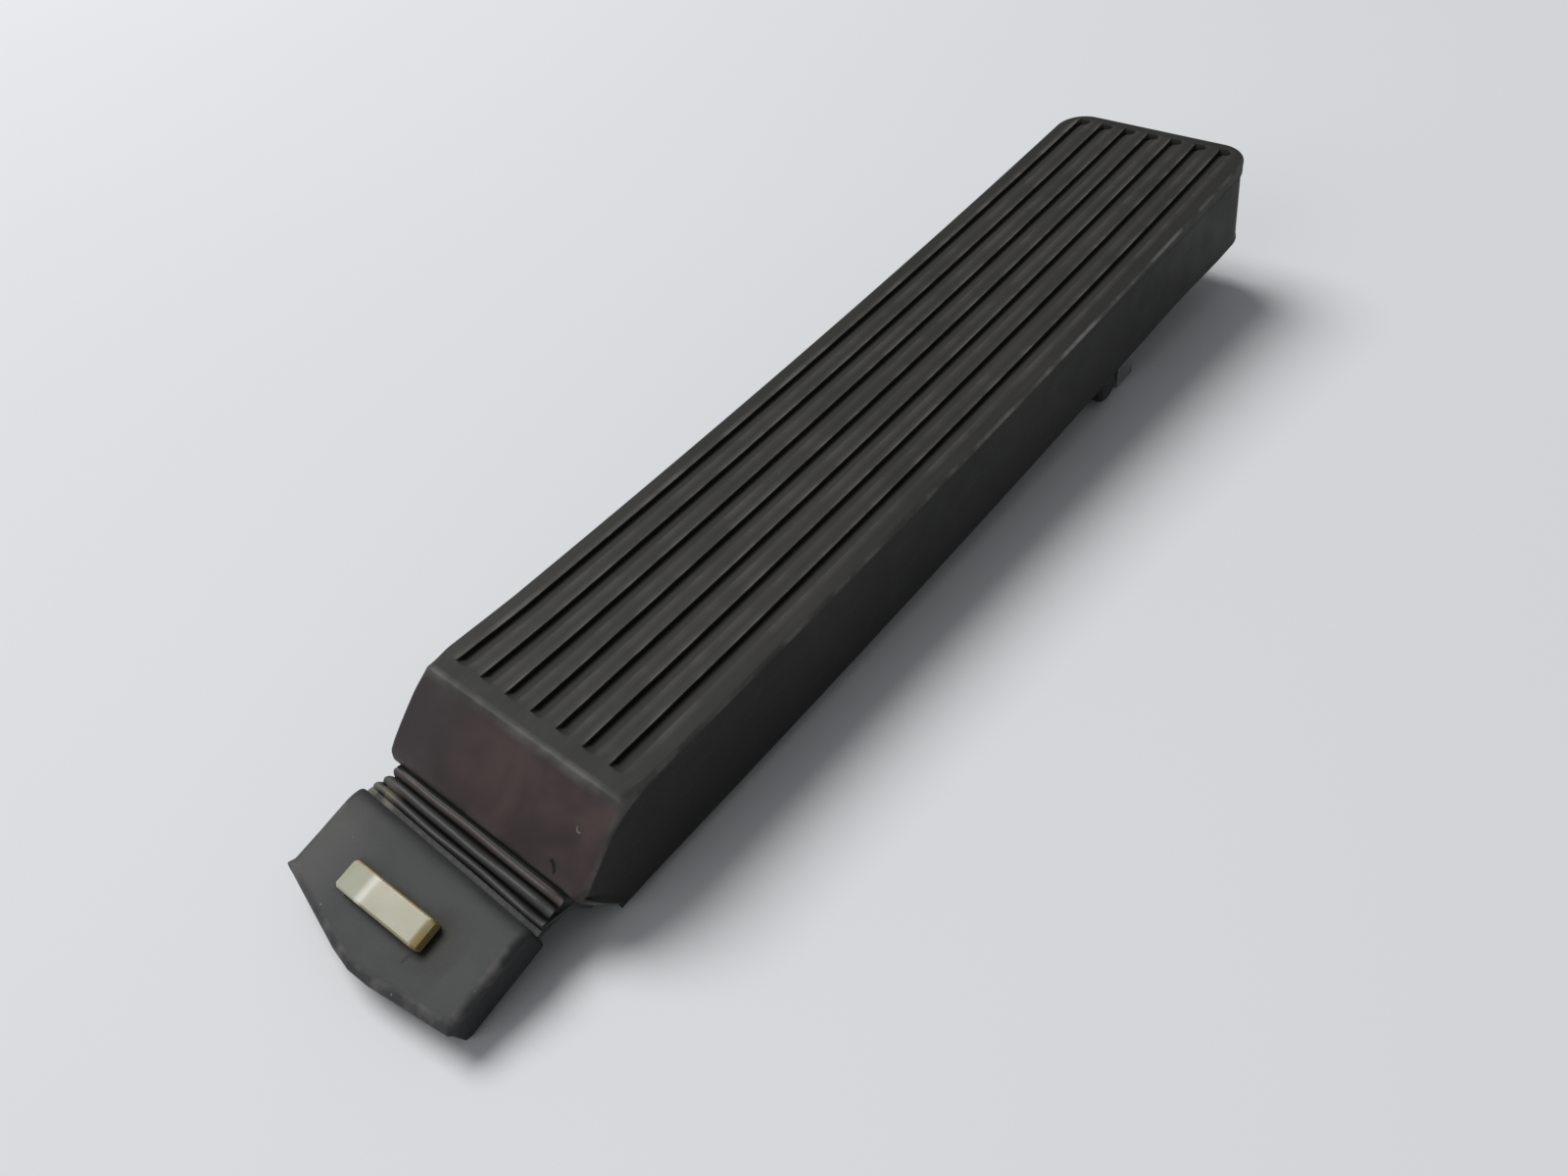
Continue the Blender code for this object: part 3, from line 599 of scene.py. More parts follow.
# ---------------------------------------------------------------- foot and clip

def rounded_outline(corners, radius, steps=5):
    """A closed outline whose corners are rounded, as points going round it."""
    points = []
    count = len(corners)
    for i in range(count):
        arc = round_corner(corners[i - 1], corners[i], corners[(i + 1) % count], radius, steps)
        points.extend(point for point, _ in arc)
    return points


def foot_outline(inset):
    """The foot from above: a straight back and a shallow, blunted point in front."""
    half = FOOT_HALF - inset
    tip_y = inset - FOOT_POINT
    shoulder = half * 0.22
    shoulder_y = tip_y + FOOT_POINT * 0.13
    back = FOOT_LENGTH - max(inset - FOOT_TAPER, 0.0)
    corners = [(half, back), (half, inset), (shoulder, shoulder_y), (0.0, tip_y),
               (-shoulder, shoulder_y), (-half, inset), (-half, back)]
    return rounded_outline([Vector(c) for c in corners], 0.0008)


def box_outline(centre, half, radius):
    corners = [(half.x, half.y), (half.x, -half.y), (-half.x, -half.y), (-half.x, half.y)]
    return rounded_outline([centre + Vector(c) for c in corners], radius)


def ray_reach(outline, centre, direction):
    """How far a ray from the centre goes before it leaves a convex outline."""
    best = 0.0
    for i, start in enumerate(outline):
        edge = outline[(i + 1) % len(outline)] - start
        cross = direction.x * edge.y - direction.y * edge.x
        if abs(cross) < 1e-12:
            continue
        offset = start - centre
        along = (offset.x * edge.y - offset.y * edge.x) / cross
        share = (offset.x * direction.y - offset.y * direction.x) / cross
        if along > 0 and -1e-6 <= share <= 1 + 1e-6:
            best = max(best, along)
    return best


def foot_directions():
    """Directions from the clip that hit the foot's corners and divide its sides evenly."""
    outline = foot_outline(0.0)
    made = []
    for i, start in enumerate(outline):
        stop = outline[(i + 1) % len(outline)]
        steps = max(1, round((stop - start).length / 0.0011))
        made.extend((start.lerp(stop, k / steps) - CLIP).normalized() for k in range(steps))
    return made


def foot_top(x, y):
    """Small unevenness of the foot's top: a dish under the clip's head and soft waves."""
    from_clip = hypot((x - CLIP.x) / 0.013, (y - CLIP.y) / 0.006)
    dish = 0.00022 * exp(-(from_clip**2))
    return -dish + 0.00012 * ripple(x, y, 0.0, 0.009, 3.0)


def build_foot():
    directions = foot_directions()
    spare = Vector((GAP, GAP))
    slot = box_outline(CLIP, SHANK_HALF + spare, 0.0004)
    recess = box_outline(Vector((0.0, RECESS_Y)), RECESS_HALF, 0.0008)

    def ring(outline, height, grow=0.0):
        made = []
        for direction in directions:
            spot = CLIP + direction * (ray_reach(outline, CLIP, direction) + grow)
            made.append(Vector((spot.x, spot.y, height)))
        return made

    def between(inner, outer_ring, share):
        return [a.lerp(b, share) for a, b in zip(inner, outer_ring)]

    top = FOOT_THICK
    lip = ring(slot, top, 0.0004)
    crown = ring(foot_outline(0.0019), top)
    rings = [ring(slot, top - 0.0004), ring(slot, top - 0.0001, 0.0001), lip]
    rings += [between(lip, crown, share) for share in (0.12, 0.26, 0.4, 0.55, 0.7, 0.84, 0.94)]
    rings.append(crown)
    for point in (p for made in rings[2:] for p in made):
        point.z += foot_top(point.x, point.y)
    for inset, drop in FOOT_EDGE:
        rings.append(ring(foot_outline(inset), top - drop))
    for share in (0.25, 0.5, 0.75, 0.93):
        rings.append(ring(foot_outline(FOOT_TAPER * share), top * (1 - share)))
    rings.append(ring(foot_outline(FOOT_TAPER + 0.0001), 0.00025))
    rings.append(ring(foot_outline(FOOT_TAPER + 0.0004), 0.0))
    rings.append(ring(recess, 0.0, 0.0003))
    rings.append(ring(recess, 0.0003))
    rings.append(ring(recess, RECESS_DEPTH))
    rings.append(ring(slot, RECESS_DEPTH))
    verts = []
    faces = []
    edge_wear = []
    for k, points in enumerate(rings):
        for p in points:
            p.z = max(p.z, -p.y * tan(FOOT_PITCH))
            roll_back(p)
            horn(p)
        verts.extend(points)
        edge = 1.0 if 11 <= k <= 14 else 0.0
        edge_wear.extend(edge * smooth((FOOT_LENGTH - p.y) / 0.003 - 0.5) for p in points)
    count = len(directions)
    for k in range(len(rings)):
        first = range(k * count, (k + 1) * count)
        following = (k + 1) % len(rings)
        faces.extend(strip_faces(list(first), list(range(following * count, (following + 1) * count))))
    foot = piece_from("foot_moulding", verts, faces, FOOT_FRAME, 38)
    # On the foot this lightens the top's rounded edges, except at the back
    store(foot, "wear_and_highlight", edge_wear)
    # side: painted shade that darkens the foot's side walls
    store(foot, "side", [smooth((k // count - 13) / 3) for k in range(len(verts))])
    return even_shading(askew(foot))


def roll_back(point):
    """Rounds the back edge of the foot's top down towards the first fold of the hinge."""
    past = max((point.y - FOOT_LENGTH) / BACK_ROLL + 1, 0.0)
    point.z -= BACK_DROP * past**2 * smooth(2 * point.z / FOOT_THICK - 1)


def horn(point):
    """Draws the left front corner of the foot's top out into a small curled point of flash."""
    corner = Vector((-FOOT_HALF, 0.0003, FOOT_THICK - 0.0010))
    point += Vector((-0.0004, 0.0, 0.0010)) * near(point, corner, 0.0006)


def build_clip():
    """The clip's head, lofted along its length, joined to its barbed shank."""
    base = FOOT_THICK + GAP
    stations = 26
    verts = []
    yellow = []
    ridge = []
    rings = []
    for i in range(stations + 1):
        share = i / stations
        rounding = sin(pi * min(share, 1 - share, 0.035) / 0.07)
        rise = clip_height(share) * (0.80 + 0.20 * rounding)
        half = CLIP_HALF.y - 0.0003 * (1 - rounding)
        x = CLIP.x + CLIP_HALF.x * (2 * share - 1)
        corners = [Vector((half, rise)), Vector((half, 0.0)), Vector((-half, 0.0)), Vector((-half, rise))]
        outline = rounded_outline(corners, 0.00045, 4)
        rings.append(list(range(len(verts), len(verts) + len(outline))))
        verts.extend(Vector((x, CLIP.y + p.x, base + p.y)) for p in outline)
        end = max(0.0, (share - 0.92) / 0.08)
        yellow.extend(min(1.0, end + smooth((p.x - 0.0021) / 0.0006)) for p in outline)
        # ridge: a painted highlight across the head at its ridge, a third of the way along
        ridge.extend([exp(-(((share - 0.33) / 0.035) ** 2))] * len(outline))
    clip = piece_from("clip_nylon_head", verts, loft_faces(rings), FOOT_FRAME, 30)
    store(clip, "yellow", yellow)
    store(clip, "ridge", ridge)
    union = clip.modifiers.new("shank", "BOOLEAN")
    union.operation = "UNION"
    shank = clip_shank(base)
    union.object = shank
    apply_modifiers(clip)
    bpy.data.objects.remove(shank)
    return even_shading(clip)


def clip_height(share):
    """The head's height along its length: up to a soft ridge at a third, then nearly level."""
    ridge = 0.33
    if share < ridge:
        return CLIP_RISE * (0.50 + 0.50 * share / ridge)
    return CLIP_RISE * (1.0 - 0.12 * ((share - ridge) / (1 - ridge)) ** 1.5)


def clip_shank(base):
    shelf = RECESS_DEPTH - 0.0012 - GAP * 2
    stem = SHANK_HALF.x
    barb = stem + 0.0016
    tail = 0.0008
    slit = stem - 0.0022
    half_outline = [(0.0, base + 0.0012), (stem, base + 0.0012), (stem, shelf), (barb, shelf),
                    (barb, shelf - 0.0008), (stem, tail), (slit, tail), (slit, RECESS_DEPTH + 0.0004)]
    outline = half_outline + [(-x, z) for x, z in reversed(half_outline[1:])]
    count = len(outline)
    verts = [Vector((CLIP.x + x, CLIP.y + y, z)) for y in (-SHANK_HALF.y, SHANK_HALF.y) for x, z in outline]
    faces = [tuple(range(count)), tuple(range(2 * count - 1, count - 1, -1))]
    faces += strip_faces(list(range(count)), list(range(count, 2 * count)))
    return piece_from("clip_shank", verts, faces, FOOT_FRAME)


# ---------------------------------------------------------------- bellows

def from_pad(point):
    """A side-view point of the pad's frame, seen from the level datum."""
    return Vector((0.0, PAD_EDGE_HEIGHT)) + Matrix.Rotation(PAD_RISE, 2) @ point


def heel_point(down, out):
    return from_pad(NOSE_TIP - HEEL_UP * down + HEEL_OUT * out)


def foot_back_point(rise, out):
    return Vector((FOOT_Y, 0.0)) + Matrix.Rotation(FOOT_PITCH, 2) @ Vector((FOOT_LENGTH + out, rise))


def fold_rows():
    """The share of the way from foot to nose of each row over the folds, with its fold's number."""
    first = FOLDS[0][0]
    rows = [(first * i / 4, 0) for i in range(4)]
    for number, (low, high, _) in enumerate(FOLDS):
        rows += [(low + (high - low) * i / FOLD_STEPS, number) for i in range(FOLD_STEPS)]
    return rows + [(1.0, len(FOLDS) - 1)]


def bellows_profile(x):
    """The hinge's section at x: soft folds above, a web below and a tongue down the nose.

    Gives the points, how deep each lies in a valley, and its share of the way to the nose.
    """
    low = foot_back_point(FOOT_THICK - 0.0018, -ROOT)
    high = heel_point(-0.0002, -ROOT)
    run = high - low
    up = Vector((-run.y, run.x)).normalized()
    end = smooth((abs(x) - BELLOWS_HALF + 0.0045) / 0.0045)
    left = 0.72 + 0.28 * smooth((x + 0.0200) / 0.0180)
    points = []
    valleys = []
    shares = []
    for share, number in fold_rows():
        begin, stop, size = FOLDS[number]
        crest = max(sin(pi * (share - begin) / (stop - begin)), 0.0) ** 0.65 if share > begin else 0.0
        height = FOLD_HEIGHT * size * left * (1 - 0.35 * end)
        height *= 1 + 0.18 * ripple(x, number * 0.01, 0.0, 0.008)
        lean = 0.0003 * crest * ripple(x, 0.0, 0.0, 0.012, number * 7.0)
        lift = height * crest - VALLEY_DROP * left - 0.0004 * end
        fade = smooth((1 - share) * 14)
        points.append(low + run * (share + lean / run.length) + up * (lift * fade))
        valleys.append(1.0 - crest)
        shares.append(share)
    back = CONTACT + TONGUE_THICK
    web = heel_point(CLAMP_START - 0.0026, back + 0.0016)
    root = foot_back_point(0.0034, -ROOT)
    tongue = ((0.0012, -ROOT), (CLAMP_START - 0.0004, CONTACT), (CLAMP_END - 0.0002, CONTACT),
              (CLAMP_END, CONTACT + 0.0002), (CLAMP_END, back - 0.0003), (CLAMP_END - 0.0003, back),
              (CLAMP_START - 0.0004, back), (CLAMP_START - 0.0012, back + 0.0003),
              (CLAMP_START - 0.0020, back + 0.0009))
    rest = [heel_point(down, out) for down, out in tongue]
    rest += [web, web.lerp(root, 0.5) + Vector((0.0, 0.0002)), root]
    plain = [0.0] * len(rest)
    return points + rest, valleys + plain, shares + plain


def build_bellows():
    rounding = 0.0006
    flat = BELLOWS_HALF - rounding
    inner = [(flat * (2 * i / 64 - 1), 0.0) for i in range(65)]
    turns = [radians(a) for a in (25, 50, 72, 90)]
    right = [(flat + rounding * sin(a), 1 - cos(a)) for a in turns]
    stations = [(-x, s) for x, s in reversed(right)] + inner + right
    verts = []
    valley = []
    to_nose = []
    rings = []
    reach = (FOOT_HALF - 0.0003) / BELLOWS_HALF
    for x, turned in stations:
        points, valleys, shares = bellows_profile(x)
        middle = sum(points, Vector((0.0, 0.0))) / len(points)
        end = smooth((abs(x) - flat + 0.002) / 0.0026)
        rings.append(list(range(len(verts), len(verts) + len(points))))
        for point, dip in zip(points, valleys):
            spot = point.lerp(middle, 0.07 * turned)
            to_foot = smooth(1 - (point - points[0]).length / 0.0052)
            wide = x * (1 + (reach - 1) * to_foot) + FOOT_X * to_foot
            verts.append(Vector((wide - copysign(0.0009 * dip * end * (1 - to_foot), x), spot.x, spot.y)))
        valley.extend(valleys)
        to_nose.extend(shares)
    bellows = piece_from("hinge_bellows_folds", verts, loft_faces(rings), LEVEL_FRAME, 50)
    # valley: how deep a point lies in a fold, which the material darkens with painted shade
    store(bellows, "valley", valley)
    store(bellows, "to_nose", to_nose)
    return askew(bellows)


# ---------------------------------------------------------------- refined hard parts

def refined(node, width):
    """A copy of a CAD node with its triangles merged into flats and its edges rounded."""
    mesh = frame["nodes"][node].data.copy()
    body = bmesh.new()
    body.from_mesh(mesh)
    bmesh.ops.remove_doubles(body, verts=body.verts, dist=1e-6)
    bmesh.ops.dissolve_limit(body, angle_limit=radians(1.0), verts=body.verts, edges=body.edges)
    bmesh.ops.recalc_face_normals(body, faces=body.faces)
    body.to_mesh(mesh)
    body.free()
    mesh.materials.clear()
    if mesh.has_custom_normals:
        mesh.attributes.remove(mesh.attributes["custom_normal"])
    shade(mesh, HARD_EDGE)
    piece = new_object(node + "_finished", mesh)
    step = piece.modifiers.new("rounding", "BEVEL")
    step.width = width
    step.segments = 2
    step.limit_method = "ANGLE"
    step.angle_limit = radians(HARD_EDGE)
    apply_modifiers(piece)
    shade(piece.data, HARD_EDGE)
    return even_shading(piece)


# ---------------------------------------------------------------- materials

class Paint:
    """A material's node graph, with a method for each kind of node that it uses."""

    def __init__(self, name, roughness=0.5, metallic=0.0, **inputs):
        self.material = bpy.data.materials.new(name)
        self.material.use_nodes = True
        self.tree = self.material.node_tree
        self.shader = self.tree.nodes["Principled BSDF"]
        self.fill(self.shader, Roughness=roughness, Metallic=metallic, **inputs)
        self.place = self.node("TexCoord").outputs["Object"]
        split = self.node("SeparateXYZ", Vector=self.place)
        self.x = split.outputs["X"]
        self.y = split.outputs["Y"]

    def put(self, socket, value):
        if isinstance(value, bpy.types.NodeSocket):
            self.tree.links.new(value, socket)
        elif socket.type == "RGBA":
            socket.default_value = (*value, 1.0)
        else:
            socket.default_value = value

    def fill(self, node, **inputs):
        """Sets a node's inputs by name, with _ in place of a space."""
        for key, value in inputs.items():
            self.put(node.inputs[key.replace("_", " ")], value)
        return node

    def node(self, kind, **inputs):
        return self.fill(self.tree.nodes.new("ShaderNode" + kind), **inputs)

    def noise(self, size, detail=3.0, stretch=None, warp=0.0):
        """Noise from 0 to 1 whose features are about size metres wide."""
        node = self.node("TexNoise", Scale=1.0 / size, Detail=detail, Roughness=0.55, Distortion=warp)
        place = self.place
        if stretch:
            place = self.node("Mapping", Vector=place, Scale=stretch).outputs["Vector"]
        return self.fill(node, Vector=place).outputs["Fac"]

    def specks(self, size):
        """Distance to scattered points, for dust and pores."""
        return self.node("TexVoronoi", Vector=self.place, Scale=1.0 / size).outputs["Distance"]

    def stored(self, name):
        node = self.node("Attribute")
        node.attribute_name = name
        return node.outputs["Fac"]

    def math(self, kind, *values):
        node = self.node("Math")
        node.operation = kind
        for socket, value in zip(node.inputs, values):
            self.put(socket, value)
        return node.outputs[0]

    def times(self, first, second):
        return self.math("MULTIPLY", first, second)

    def fused(self, first, second, third):
        """first times second, plus third."""
        return self.math("MULTIPLY_ADD", first, second, third)

    def less(self, first, second):
        return self.math("SUBTRACT", first, second)

    def size(self, value):
        return self.math("ABSOLUTE", value)

    def distance(self, x, y):
        """The length of the offset (x, y)."""
        return self.math("SQRT", self.math("ADD", self.math("POWER", x, 2.0), self.math("POWER", y, 2.0)))

    def span(self, value, low, high, to_low=0.0, to_high=1.0):
        """The value's place between low and high, held inside the new range."""
        node = self.node("MapRange", From_Min=low, From_Max=high, To_Min=to_low, To_Max=to_high)
        node.interpolation_type = "SMOOTHSTEP"
        return self.fill(node, Value=value).outputs["Result"]

    def mix(self, share, first, second):
        node = self.node("Mix", Factor=share)
        node.data_type = "RGBA"
        self.put(node.inputs[6], first)
        self.put(node.inputs[7], second)
        return node.outputs[2]

    def bump(self, height, distance, strength, **under):
        """Relief of the height, on top of the normal in under if it's given."""
        node = self.node("Bump", Height=height, Distance=distance, Strength=strength, **under)
        return node.outputs["Normal"]

    def finish(self, *values):
        """Sets the colour and, where they're given, the roughness and the normal."""
        for key, value in zip(("Base Color", "Roughness", "Normal"), values):
            self.put(self.shader.inputs[key], value)
        return self.material


def stroke(paint, start, end, bulge, half):
    """1 along a short curved mark between two places, seen from above, and 0 beside it.

    The mark's middle bulges sideways from the straight line, and half is half its width.
    """
    run = end - start
    x = paint.less(paint.x, start.x)
    y = paint.less(paint.y, start.y)
    across = run / run.length_squared
    along = paint.fused(x, across.x, paint.times(y, across.y))
    side = run.orthogonal().normalized()
    aside = paint.fused(x, side.x, paint.times(y, side.y))
    arch = paint.times(paint.less(1.0, along), along)
    aside = paint.fused(arch, -4 * bulge, aside)
    thin = paint.span(paint.size(aside), half * 1.4, half * 0.6)
    inside = paint.span(paint.size(paint.less(along, 0.5)), 0.56, 0.44)
    return paint.times(thin, inside)


def pad_rubber():
    """Satin black rubber, greyed and scuffed on its edges with painted highlights there, with painted shade
    in its grooves, pits and under the wall's step, and faded red-brown on the nose.
    """
    paint = Paint("pad_rubber_worn_painted_shade_and_highlight", Specular_IOR_Level=0.20)
    broad = paint.noise(0.045, 2.0)
    fine = paint.noise(0.0016, 4.0)
    drawn = paint.noise(0.0010, stretch=(1.0, 0.05, 1.0))
    color = paint.mix(paint.span(broad, 0.3, 0.7), (0.0145, 0.014, 0.0128), (0.021, 0.020, 0.018))
    color = paint.mix(paint.span(drawn, 0.45, 0.8, 0.0, 0.28), color, (0.034, 0.033, 0.030))
    # Painted shade, near black, in the grooves, the far-end pits and the step under the top's edge
    groove = paint.stored("painted_shade")
    color = paint.mix(paint.times(groove, 0.85), color, (0.006, 0.0055, 0.0045))
    blotch = paint.noise(0.017, warp=0.5)
    brown = paint.mix(paint.span(blotch, 0.32, 0.70), (0.0265, 0.0190, 0.0184), (0.0530, 0.0355, 0.0350))
    grey_side = paint.span(paint.x, -0.0060, -0.0210, 0.0, 0.55)
    brown = paint.mix(grey_side, brown, (0.037, 0.034, 0.037))
    color = paint.mix(paint.stored("faded"), color, brown)
    patches = paint.span(paint.noise(0.009), 0.38, 0.66, 0.3, 1.0)
    # Scuffs together with painted highlights on the rib edges, the rims and the nose's edge
    scuff_and_highlight = paint.times(paint.stored("wear_and_highlight"), patches)
    color = paint.mix(paint.times(scuff_and_highlight, 0.48), color, (0.27, 0.26, 0.245))
    cut = stroke(paint, NOSE_CUT[0], NOSE_CUT[1], 0.0003, 0.0003)
    color = paint.mix(cut, color, (0.005, 0.005, 0.005))
    scratch = stroke(paint, NOSE_SCRATCH[0], NOSE_SCRATCH[1], -0.0003, 0.00014)
    color = paint.mix(paint.times(scratch, 0.4), color, (0.22, 0.20, 0.195))
    dust = paint.span(paint.specks(0.0021), 0.10, 0.03)
    dust = paint.times(dust, paint.span(paint.noise(0.011, 2.0), 0.52, 0.7, 0.0, 0.55))
    color = paint.mix(dust, color, (0.12, 0.115, 0.10))
    rough = paint.fused(paint.noise(0.008), 0.22, 0.46)
    rough = paint.fused(groove, 0.2, rough)
    normal = paint.bump(fine, 0.00005, 0.4)
    return paint.finish(color, rough, paint.bump(drawn, 0.00005, 0.2, Normal=normal))


def foot_rubber():
    """Dusty grey-black rubber, with painted shade on its side walls and towards its back, and a painted
    shadow beside the clip's raised head.
    """
    paint = Paint("foot_rubber_dusty_painted_shade", Specular_IOR_Level=0.27)
    cloud = paint.noise(0.010, 4.0, warp=0.4)
    grain = paint.noise(0.0009, 4.0)
    color = paint.mix(paint.span(cloud, 0.32, 0.70), (0.022, 0.0232, 0.0238), (0.040, 0.041, 0.041))
    dusty_side = paint.span(paint.x, -0.0080, -0.0200, 0.0, 0.8)
    color = paint.mix(dusty_side, color, (0.058, 0.058, 0.055))
    shaded_back = paint.span(paint.y, FOOT_LENGTH - 0.0065, FOOT_LENGTH, 0.0, 0.8)
    color = paint.mix(shaded_back, color, (0.013, 0.0135, 0.013))
    # A painted shadow of the clip's raised head, falling past its right end
    clip_shadow = CLIP + Vector((CLIP_HALF.x, 0.0002))
    away = paint.distance(paint.less(paint.x, clip_shadow.x), paint.less(paint.y, clip_shadow.y))
    away = paint.fused(paint.noise(0.004), 0.004, away)
    color = paint.mix(paint.span(away, 0.0098, 0.0030, 0.0, 0.9), color, (0.014, 0.013, 0.010))
    past_x = paint.less(paint.size(paint.less(paint.x, CLIP.x)), CLIP_HALF.x)
    past_y = paint.less(paint.size(paint.less(paint.y, CLIP.y)), CLIP_HALF.y)
    past = paint.math("MAXIMUM", past_x, past_y)
    past = paint.fused(paint.noise(0.002), 0.0012, past)
    color = paint.mix(paint.span(past, 0.0018, 0.0006, 0.0, 0.85), color, (0.016, 0.011, 0.006))
    cut = stroke(paint, FOOT_CUT[0], FOOT_CUT[1], -0.00025, 0.0003)
    color = paint.mix(cut, color, (0.006, 0.006, 0.006))
    # Painted shade on the side walls
    color = paint.mix(paint.times(paint.stored("side"), 0.7), color, (0.014, 0.014, 0.014))
    patches = paint.span(paint.noise(0.004), 0.4, 0.7, 0.0, 0.5)
    worn_and_highlit = paint.times(paint.stored("wear_and_highlight"), patches)
    color = paint.mix(worn_and_highlit, color, (0.12, 0.11, 0.11))
    specks = paint.times(paint.span(paint.specks(0.0052), 0.05, 0.02), paint.span(grain, 0.45, 0.6))
    color = paint.mix(specks, color, (0.20, 0.19, 0.17))
    rough = paint.fused(cloud, 0.18, 0.50)
    return paint.finish(color, rough, paint.bump(grain, 0.00006, 0.5))


def bellows_rubber():
    """The hinge's rubber: painted shade makes the folds' valleys near black; the crests are paler and dusty.
    """
    paint = Paint("bellows_rubber", Specular_IOR_Level=0.35)
    grain = paint.noise(0.0009, 4.0)
    valley = paint.stored("valley")
    to_nose = paint.stored("to_nose")
    crest = paint.mix(paint.span(to_nose, 0.62, 0.78), (0.038, 0.038, 0.037), (0.040, 0.031, 0.028))
    # Painted shade in the valleys between the folds
    color = paint.mix(paint.span(valley, 0.05, 0.65), crest, (0.006, 0.006, 0.0055))
    patch = paint.span(paint.x, -0.0150, -0.0195)
    patch = paint.times(patch, paint.span(to_nose, 0.62, 0.38))
    patch = paint.times(patch, paint.span(paint.noise(0.004), 0.35, 0.6, 0.0, 0.8))
    color = paint.mix(patch, color, (0.12, 0.112, 0.080))
    rough = paint.fused(grain, 0.2, 0.45)
    return paint.finish(color, rough, paint.bump(grain, 0.00006, 0.6))


def clip_nylon():
    """Natural nylon, slightly see-through, yellowed at the back and the right end, with a painted highlight
    along its ridge.
    """
    paint = Paint("clip_nylon_aged", 0.34, Subsurface_Weight=0.35, Subsurface_Scale=0.002)
    cloud = paint.noise(0.0035)
    color = paint.mix(cloud, (0.20, 0.192, 0.115), (0.25, 0.237, 0.148))
    low_end = paint.span(paint.x, CLIP.x - 0.0028, CLIP.x - 0.0042)
    color = paint.mix(paint.times(low_end, 0.75), color, (0.32, 0.335, 0.27))
    # A painted highlight along the head's ridge
    color = paint.mix(paint.times(paint.stored("ridge"), 0.7), color, (0.62, 0.62, 0.56))
    patches = paint.span(paint.noise(0.0022), 0.3, 0.65, 0.2, 0.9)
    edge = paint.times(paint.stored("yellow"), patches)
    color = paint.mix(edge, color, (0.31, 0.21, 0.055))
    return paint.finish(color, paint.fused(cloud, 0.16, 0.26), paint.bump(cloud, 0.00008, 0.4))


def core_nylon():
    """Glass-filled nylon: near black, with a faint mould grain and grey bloom."""
    paint = Paint("core_nylon_moulded", Specular_IOR_Level=0.4)
    bloom = paint.noise(0.015, warp=0.5)
    grain = paint.noise(0.0006)
    color = paint.mix(paint.span(bloom, 0.35, 0.7), (0.018, 0.018, 0.019), (0.036, 0.036, 0.037))
    rough = paint.fused(bloom, 0.25, 0.34)
    return paint.finish(color, rough, paint.bump(grain, 0.00004, 0.5))


def sheet_steel():
    """Phosphated pressed steel, grey with darker handling marks."""
    paint = Paint("sheet_steel_grey", metallic=0.85)
    cloud = paint.noise(0.007, 4.0, warp=0.5)
    rolled = paint.noise(0.0008, stretch=(1.0, 0.08, 1.0))
    color = paint.mix(paint.span(cloud, 0.3, 0.7), (0.20, 0.205, 0.21), (0.36, 0.365, 0.37))
    rough = paint.fused(cloud, 0.25, 0.32)
    return paint.finish(color, rough, paint.bump(rolled, 0.00003, 0.5))


def zinc_steel():
    """Dull zinc plate with a faint yellow passivation."""
    paint = Paint("zinc_plate", metallic=1.0)
    cloud = paint.noise(0.004)
    color = paint.mix(cloud, (0.55, 0.52, 0.42), (0.66, 0.65, 0.60))
    rough = paint.fused(paint.noise(0.0015), 0.3, 0.22)
    return paint.finish(color, rough, paint.bump(cloud, 0.00003, 0.3))


def roller_rubber():
    paint = Paint("roller_rubber_matt", Specular_IOR_Level=0.35)
    grain = paint.noise(0.0008, 4.0)
    color = paint.mix(paint.noise(0.005), (0.014, 0.014, 0.014), (0.034, 0.033, 0.032))
    return paint.finish(color, paint.fused(grain, 0.2, 0.55), paint.bump(grain, 0.00006, 0.5))


def roller_nylon():
    paint = Paint("roller_nylon_natural", 0.4, Subsurface_Weight=0.2, Subsurface_Scale=0.001)
    cloud = paint.noise(0.003)
    color = paint.mix(cloud, (0.48, 0.46, 0.38), (0.58, 0.57, 0.50))
    return paint.finish(color, paint.fused(cloud, 0.2, 0.3), paint.bump(cloud, 0.00004, 0.3))


def floor_paint():
    """Pale matt paint that turns into the wall's own tone far from the object."""
    paint = Paint("studio_floor", 0.6, Specular_IOR_Level=0.0)
    tone = paint.noise(0.6, 2.0)
    far = paint.span(paint.distance(paint.x, paint.y), *FLOOR_FADE)
    paint.fill(paint.shader, Emission_Strength=far, Emission_Color=WALL_TONE)
    near = paint.mix(tone, (0.60, 0.61, 0.62), (0.64, 0.65, 0.66))
    return paint.finish(paint.mix(far, near, (0.0, 0.0, 0.0)))


# ---------------------------------------------------------------- putting it together

def dress(piece, material, body, slot, *nodes):
    """Gives a piece its material and body, and lets it stand for CAD nodes."""
    piece.data.materials.clear()
    piece.data.materials.append(material)
    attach(piece, body)
    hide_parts(*nodes)


def make_studio():
    floor_mesh = bpy.data.meshes.new("studio_floor")
    body = bmesh.new()
    bmesh.ops.create_grid(body, x_segments=1, y_segments=1, size=FLOOR_HALF)
    body.to_mesh(floor_mesh)
    body.free()
    floor = new_object("studio_floor", floor_mesh)
    floor.location.z = -0.00005
    floor.data.materials.append(floor_paint())

    make_world()
    soft_light("key", KEY_PLACE, size=2.0, power=100.0)
    soft_light("fill", FILL_PLACE, size=1.6, power=12.0)
    bpy.context.scene.view_settings.view_transform = "Standard"


